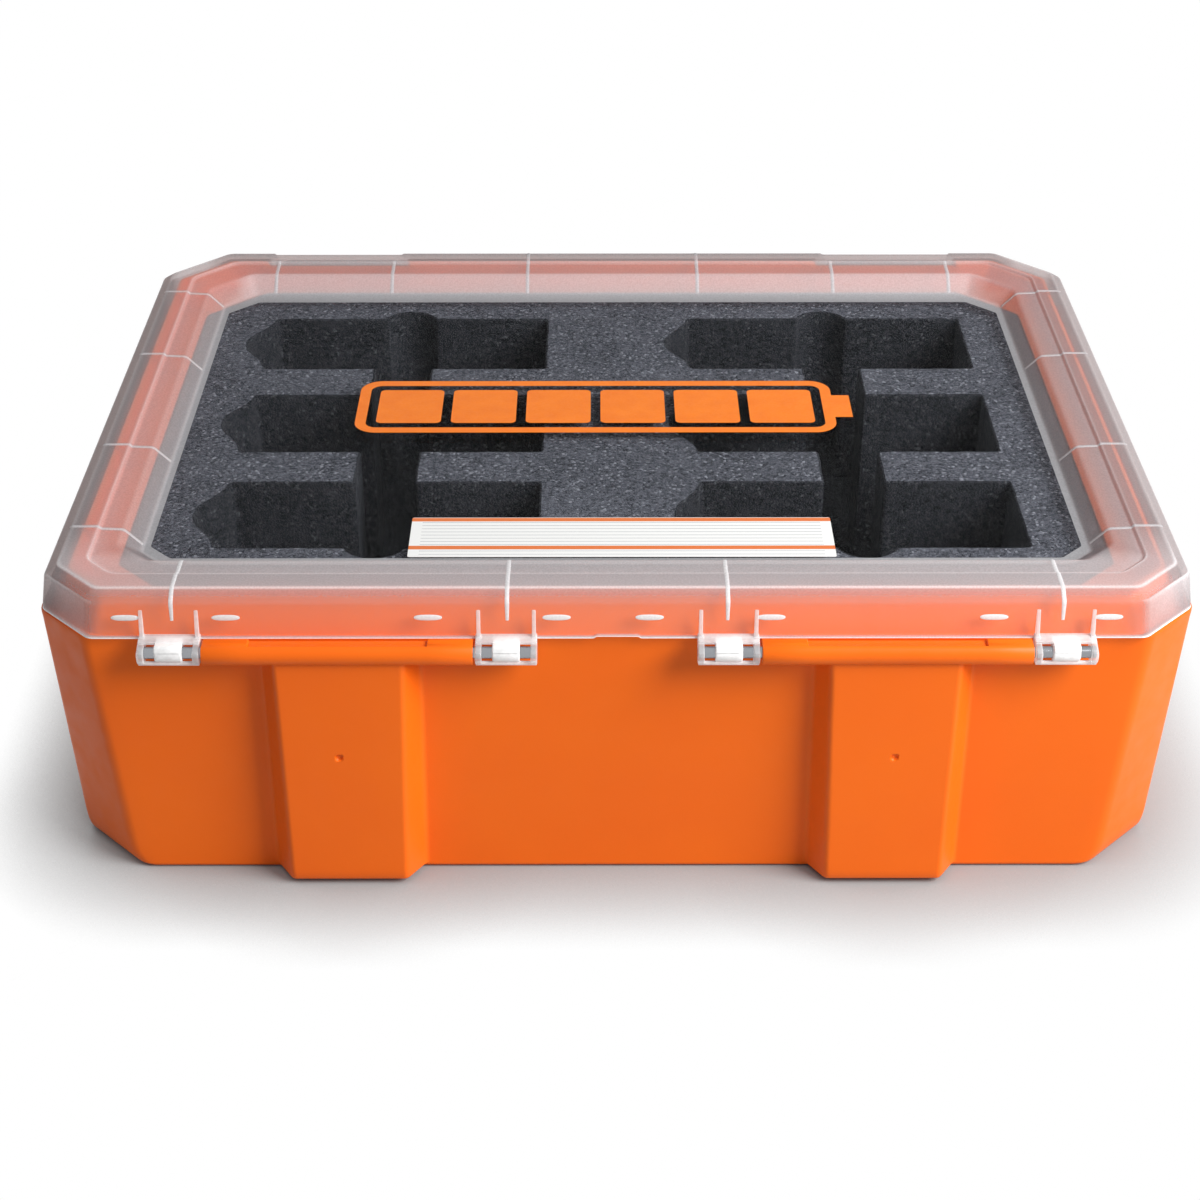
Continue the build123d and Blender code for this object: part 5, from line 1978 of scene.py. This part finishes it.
@dataclass
class BailHandle(SubAssembly):
    """The folding handle: two flat arms with round bosses and a thick grip with finger waves.

    The squareness is the grip's superellipse exponent: 1 is an ellipse, and lower is squarer.
    """

    finish: bpy.types.Material
    axis_y: float = 199.0
    axis_z: float = 112.0
    boss: float = 7.0
    arm_inner: float = 70.6
    arm_outer: float = 78.6
    arm_depth: float = 6.0
    drop: float = 58.0
    grip_half: tuple[float, float] = (9.5, 12.0)
    sleeve_half: float = 62.0
    waves: int = 4
    wave_depth: float = 1.6
    proud: float = 0.7
    end_round: float = 3.0
    squareness: float = 0.72

    def grip(self, skin: Skin) -> None:
        """Adds the grip: a superellipse carried along X, thicker under the hand, with finger waves above, which
        follow a cosine.

        Args:
            skin: The mesh under construction.
        """
        turn = np.linspace(0, 2 * math.pi, 40, endpoint=False)
        c, s = np.cos(turn), np.sin(turn)
        half_y, half_z = self.grip_half
        y = signed_power(c, self.squareness) * half_y
        z = signed_power(s, self.squareness) * half_z
        end = self.arm_outer
        ends = end - np.array([0.0, 0.25, 0.9, 1.9, self.end_round])
        sleeve = self.sleeve_half + np.array([0.5, 0.15, -0.15, -0.5])
        x = mirrored(np.concatenate([ends, sleeve, np.arange(0, self.sleeve_half - 1, 2.2)]))
        near = np.clip((end - np.abs(x)) / self.end_round, 0, 1)
        draw = self.end_round * (1 - np.sqrt(1 - (1 - near) ** 2))
        draw = draw + self.proud * ease(np.abs(x), self.sleeve_half - 0.3, self.sleeve_half + 0.3)
        size = np.array([half_y, half_z])
        shape = np.stack([y, z], axis=1)[None] * (1 - draw[:, None, None] / size)
        wave = 0.5 - 0.5 * np.cos(2 * math.pi * self.waves * (x / (2 * self.sleeve_half) + 0.5))
        wave = np.where(np.abs(x) < self.sleeve_half, wave, 0) * self.wave_depth
        shape[..., 1] -= wave[:, None] * ease(s, 0.2, 0.8)[None]
        middle = np.array([self.axis_y, self.axis_z - self.drop])
        skin.grid(standing(x, shape + middle), caps=(True, True))

    def arm(self, skin: Skin, side: int) -> None:
        """Adds one arm: a flat bar with a round boss at its top, running into the grip.

        Args:
            skin: The mesh under construction.
            side: -1 for the left one, 1 for the right one.
        """
        r, d = self.boss, self.arm_depth
        over = arc((0, 0), r, -50, 230, 25)
        waist = -r - 6.0
        low = -self.drop
        sides = [[-d + 1.2, waist], [-d, waist - 8], [-d, low], [d, low], [d, waist - 8], [d - 1.2, waist]]
        outline = np.vstack([sides, over])
        section = outline + [self.axis_y, self.axis_z]
        low_x, high_x = sorted((side * self.arm_inner, side * self.arm_outer))
        skin.bar(section, low_x, high_x, edge=1.4, steps=4)

    def build(self) -> None:
        """Builds the handle."""
        skin = Skin()
        self.grip(skin)
        for side in (-1, 1):
            self.arm(skin, side)
        self.place(skin, "bail_handle", [self.finish], Body.HANDLE, Slot.BLACK, ["handle"])


@dataclass
class Studio:
    """Camera, floor, lamp and surrounding white. Its sizes are in metres."""

    camera_place: tuple[float, float, float] = (-0.00903, -1.01334, 0.65763)
    camera_tilt: float = 0.553607
    camera_turn: float = -0.00176
    lens: float = 66.93
    sensor: float = 36.0
    floor_size: float = 30.0
    floor_drop: float = 0.0003
    ambient: float = 0.28
    room: tuple[float, float, float, float] = (0.97, 0.98, 1.0, 1)
    key_place: tuple[float, float, float] = (1.15, -0.78, 1.15)
    key_size: float = 0.9
    key_power: float = 44
    aim: tuple[float, float, float] = (0, 0, 0.08)

    def camera(self) -> None:
        """Adds the camera at the photograph's place, angle and lens."""
        data = bpy.data.cameras.new("photo_camera")
        data.lens = self.lens
        data.sensor_width = self.sensor
        data.clip_start, data.clip_end = 0.05, 100
        camera = bpy.data.objects.new("photo_camera", data)
        camera.location = self.camera_place
        camera.rotation_euler = Euler((math.pi / 2 - self.camera_tilt, 0, self.camera_turn))
        bpy.context.scene.collection.objects.link(camera)
        bpy.context.scene.camera = camera

    def floor(self) -> None:
        """Adds the floor, a level square just under the case."""
        half = self.floor_size / 2
        corners = [(-half, -half), (half, -half), (half, half), (-half, half)]
        mesh = bpy.data.meshes.new("floor")
        mesh.from_pydata([(x, y, -self.floor_drop) for x, y in corners], [], [(0, 1, 2, 3)])
        mesh.materials.append(StudioFloor().material())
        floor = bpy.data.objects.new("floor", mesh)
        bpy.context.scene.collection.objects.link(floor)

    def lamp(self) -> None:
        """Adds the key light, a soft square lamp that faces the case's middle."""
        data = bpy.data.lights.new("key", "AREA")
        data.size = self.key_size
        data.energy = self.key_power
        lamp = bpy.data.objects.new("key", data)
        lamp.location = self.key_place
        lamp.rotation_euler = (Vector(self.aim) - Vector(self.key_place)).to_track_quat("-Z", "Y").to_euler()
        bpy.context.scene.collection.objects.link(lamp)

    def world(self) -> None:
        """Sets the surroundings: even soft light for the case, and plain white where they are seen."""
        world = bpy.data.worlds.new("studio")
        bpy.context.scene.world = world
        world.use_nodes = True
        nodes = Nodes(world.node_tree, "ShaderNodeOutputWorld")
        lit = nodes.node("ShaderNodeBackground", Color=self.room, Strength=self.ambient)
        white = nodes.node("ShaderNodeBackground", Color=(1, 1, 1, 1), Strength=1.0)
        nodes.join(nodes.layered(nodes.seen(), lit, white))

    def build(self) -> None:
        """Builds the studio and sets the plain view transform."""
        bpy.context.scene.view_settings.view_transform = "Standard"
        self.camera()
        self.floor()
        self.world()
        self.lamp()


def dress(frame: dict, nodes: Sequence[str], material: bpy.types.Material) -> None:
    """Gives carried-over CAD nodes a material.

    Args:
        frame: The loaded frame.
        nodes: Names of the nodes.
        material: The material for all of them.
    """
    for name in nodes:
        mesh = frame["nodes"][name].data
        mesh.materials.clear()
        mesh.materials.append(material)
        LOG.info("%s: dressed with %s", name, material.name)


def main() -> None:
    """Builds the case piece by piece around the frame, then the studio."""
    logging.basicConfig(level=logging.INFO, format="%(message)s")
    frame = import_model()
    orange = MouldedPlastic("orange_plastic", (0.9, 0.15, 0.004, 1), (0.88, 0.14, 0.004, 1))
    black = MouldedPlastic(
        "black_plastic", (0.022, 0.022, 0.024, 1), (0.03, 0.03, 0.032, 1),
        roughness=(0.4, 0.55), grain=0.6, grain_depth=0.02,
    )
    bright, open_tint = (0.97, 0.96, 0.955, 1), (0.93, 0.93, 0.94, 1)
    # The knuckles' edge gain adds a painted highlight along their edges
    block = FrostedPlastic(
        "clear_block", bright, through=open_tint, flange_shade=open_tint, roughness=0.12, grain=3.0, edge_highlight_gain=0.55
    )
    plan = Plan(flange=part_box("lid_shell")[1].z / MM - Lid.bevel[1])
    BaseShell(plan, orange.material()).build()
    Lid(plan, FrostedPlastic().material(), ClearPane().material(), block.material()).build()
    # The copy for the cut walls and the pad is darkened, a painted shade inside the pockets
    FoamInsert(plan, CutFoam().material(), CutFoam("shaded_cut_foam", 0.28).material()).build()
    dark = black.material()
    for side in (-1, 1):
        Latch(dark, side).build()
    BailHandle(dark).build()
    pins = ["hinge_rod", "latch_pin", "handle_pin"]
    dress(frame, [f"{pin}_{side}" for pin in pins for side in ("left", "right")], Chrome().material())
    dress(frame, ["lid_emblem"], ScreenPrint().material())
    dress(frame, ["lid_label"], RuledLabel().material())
    Studio().build()


if __name__ == "__main__":
    main()
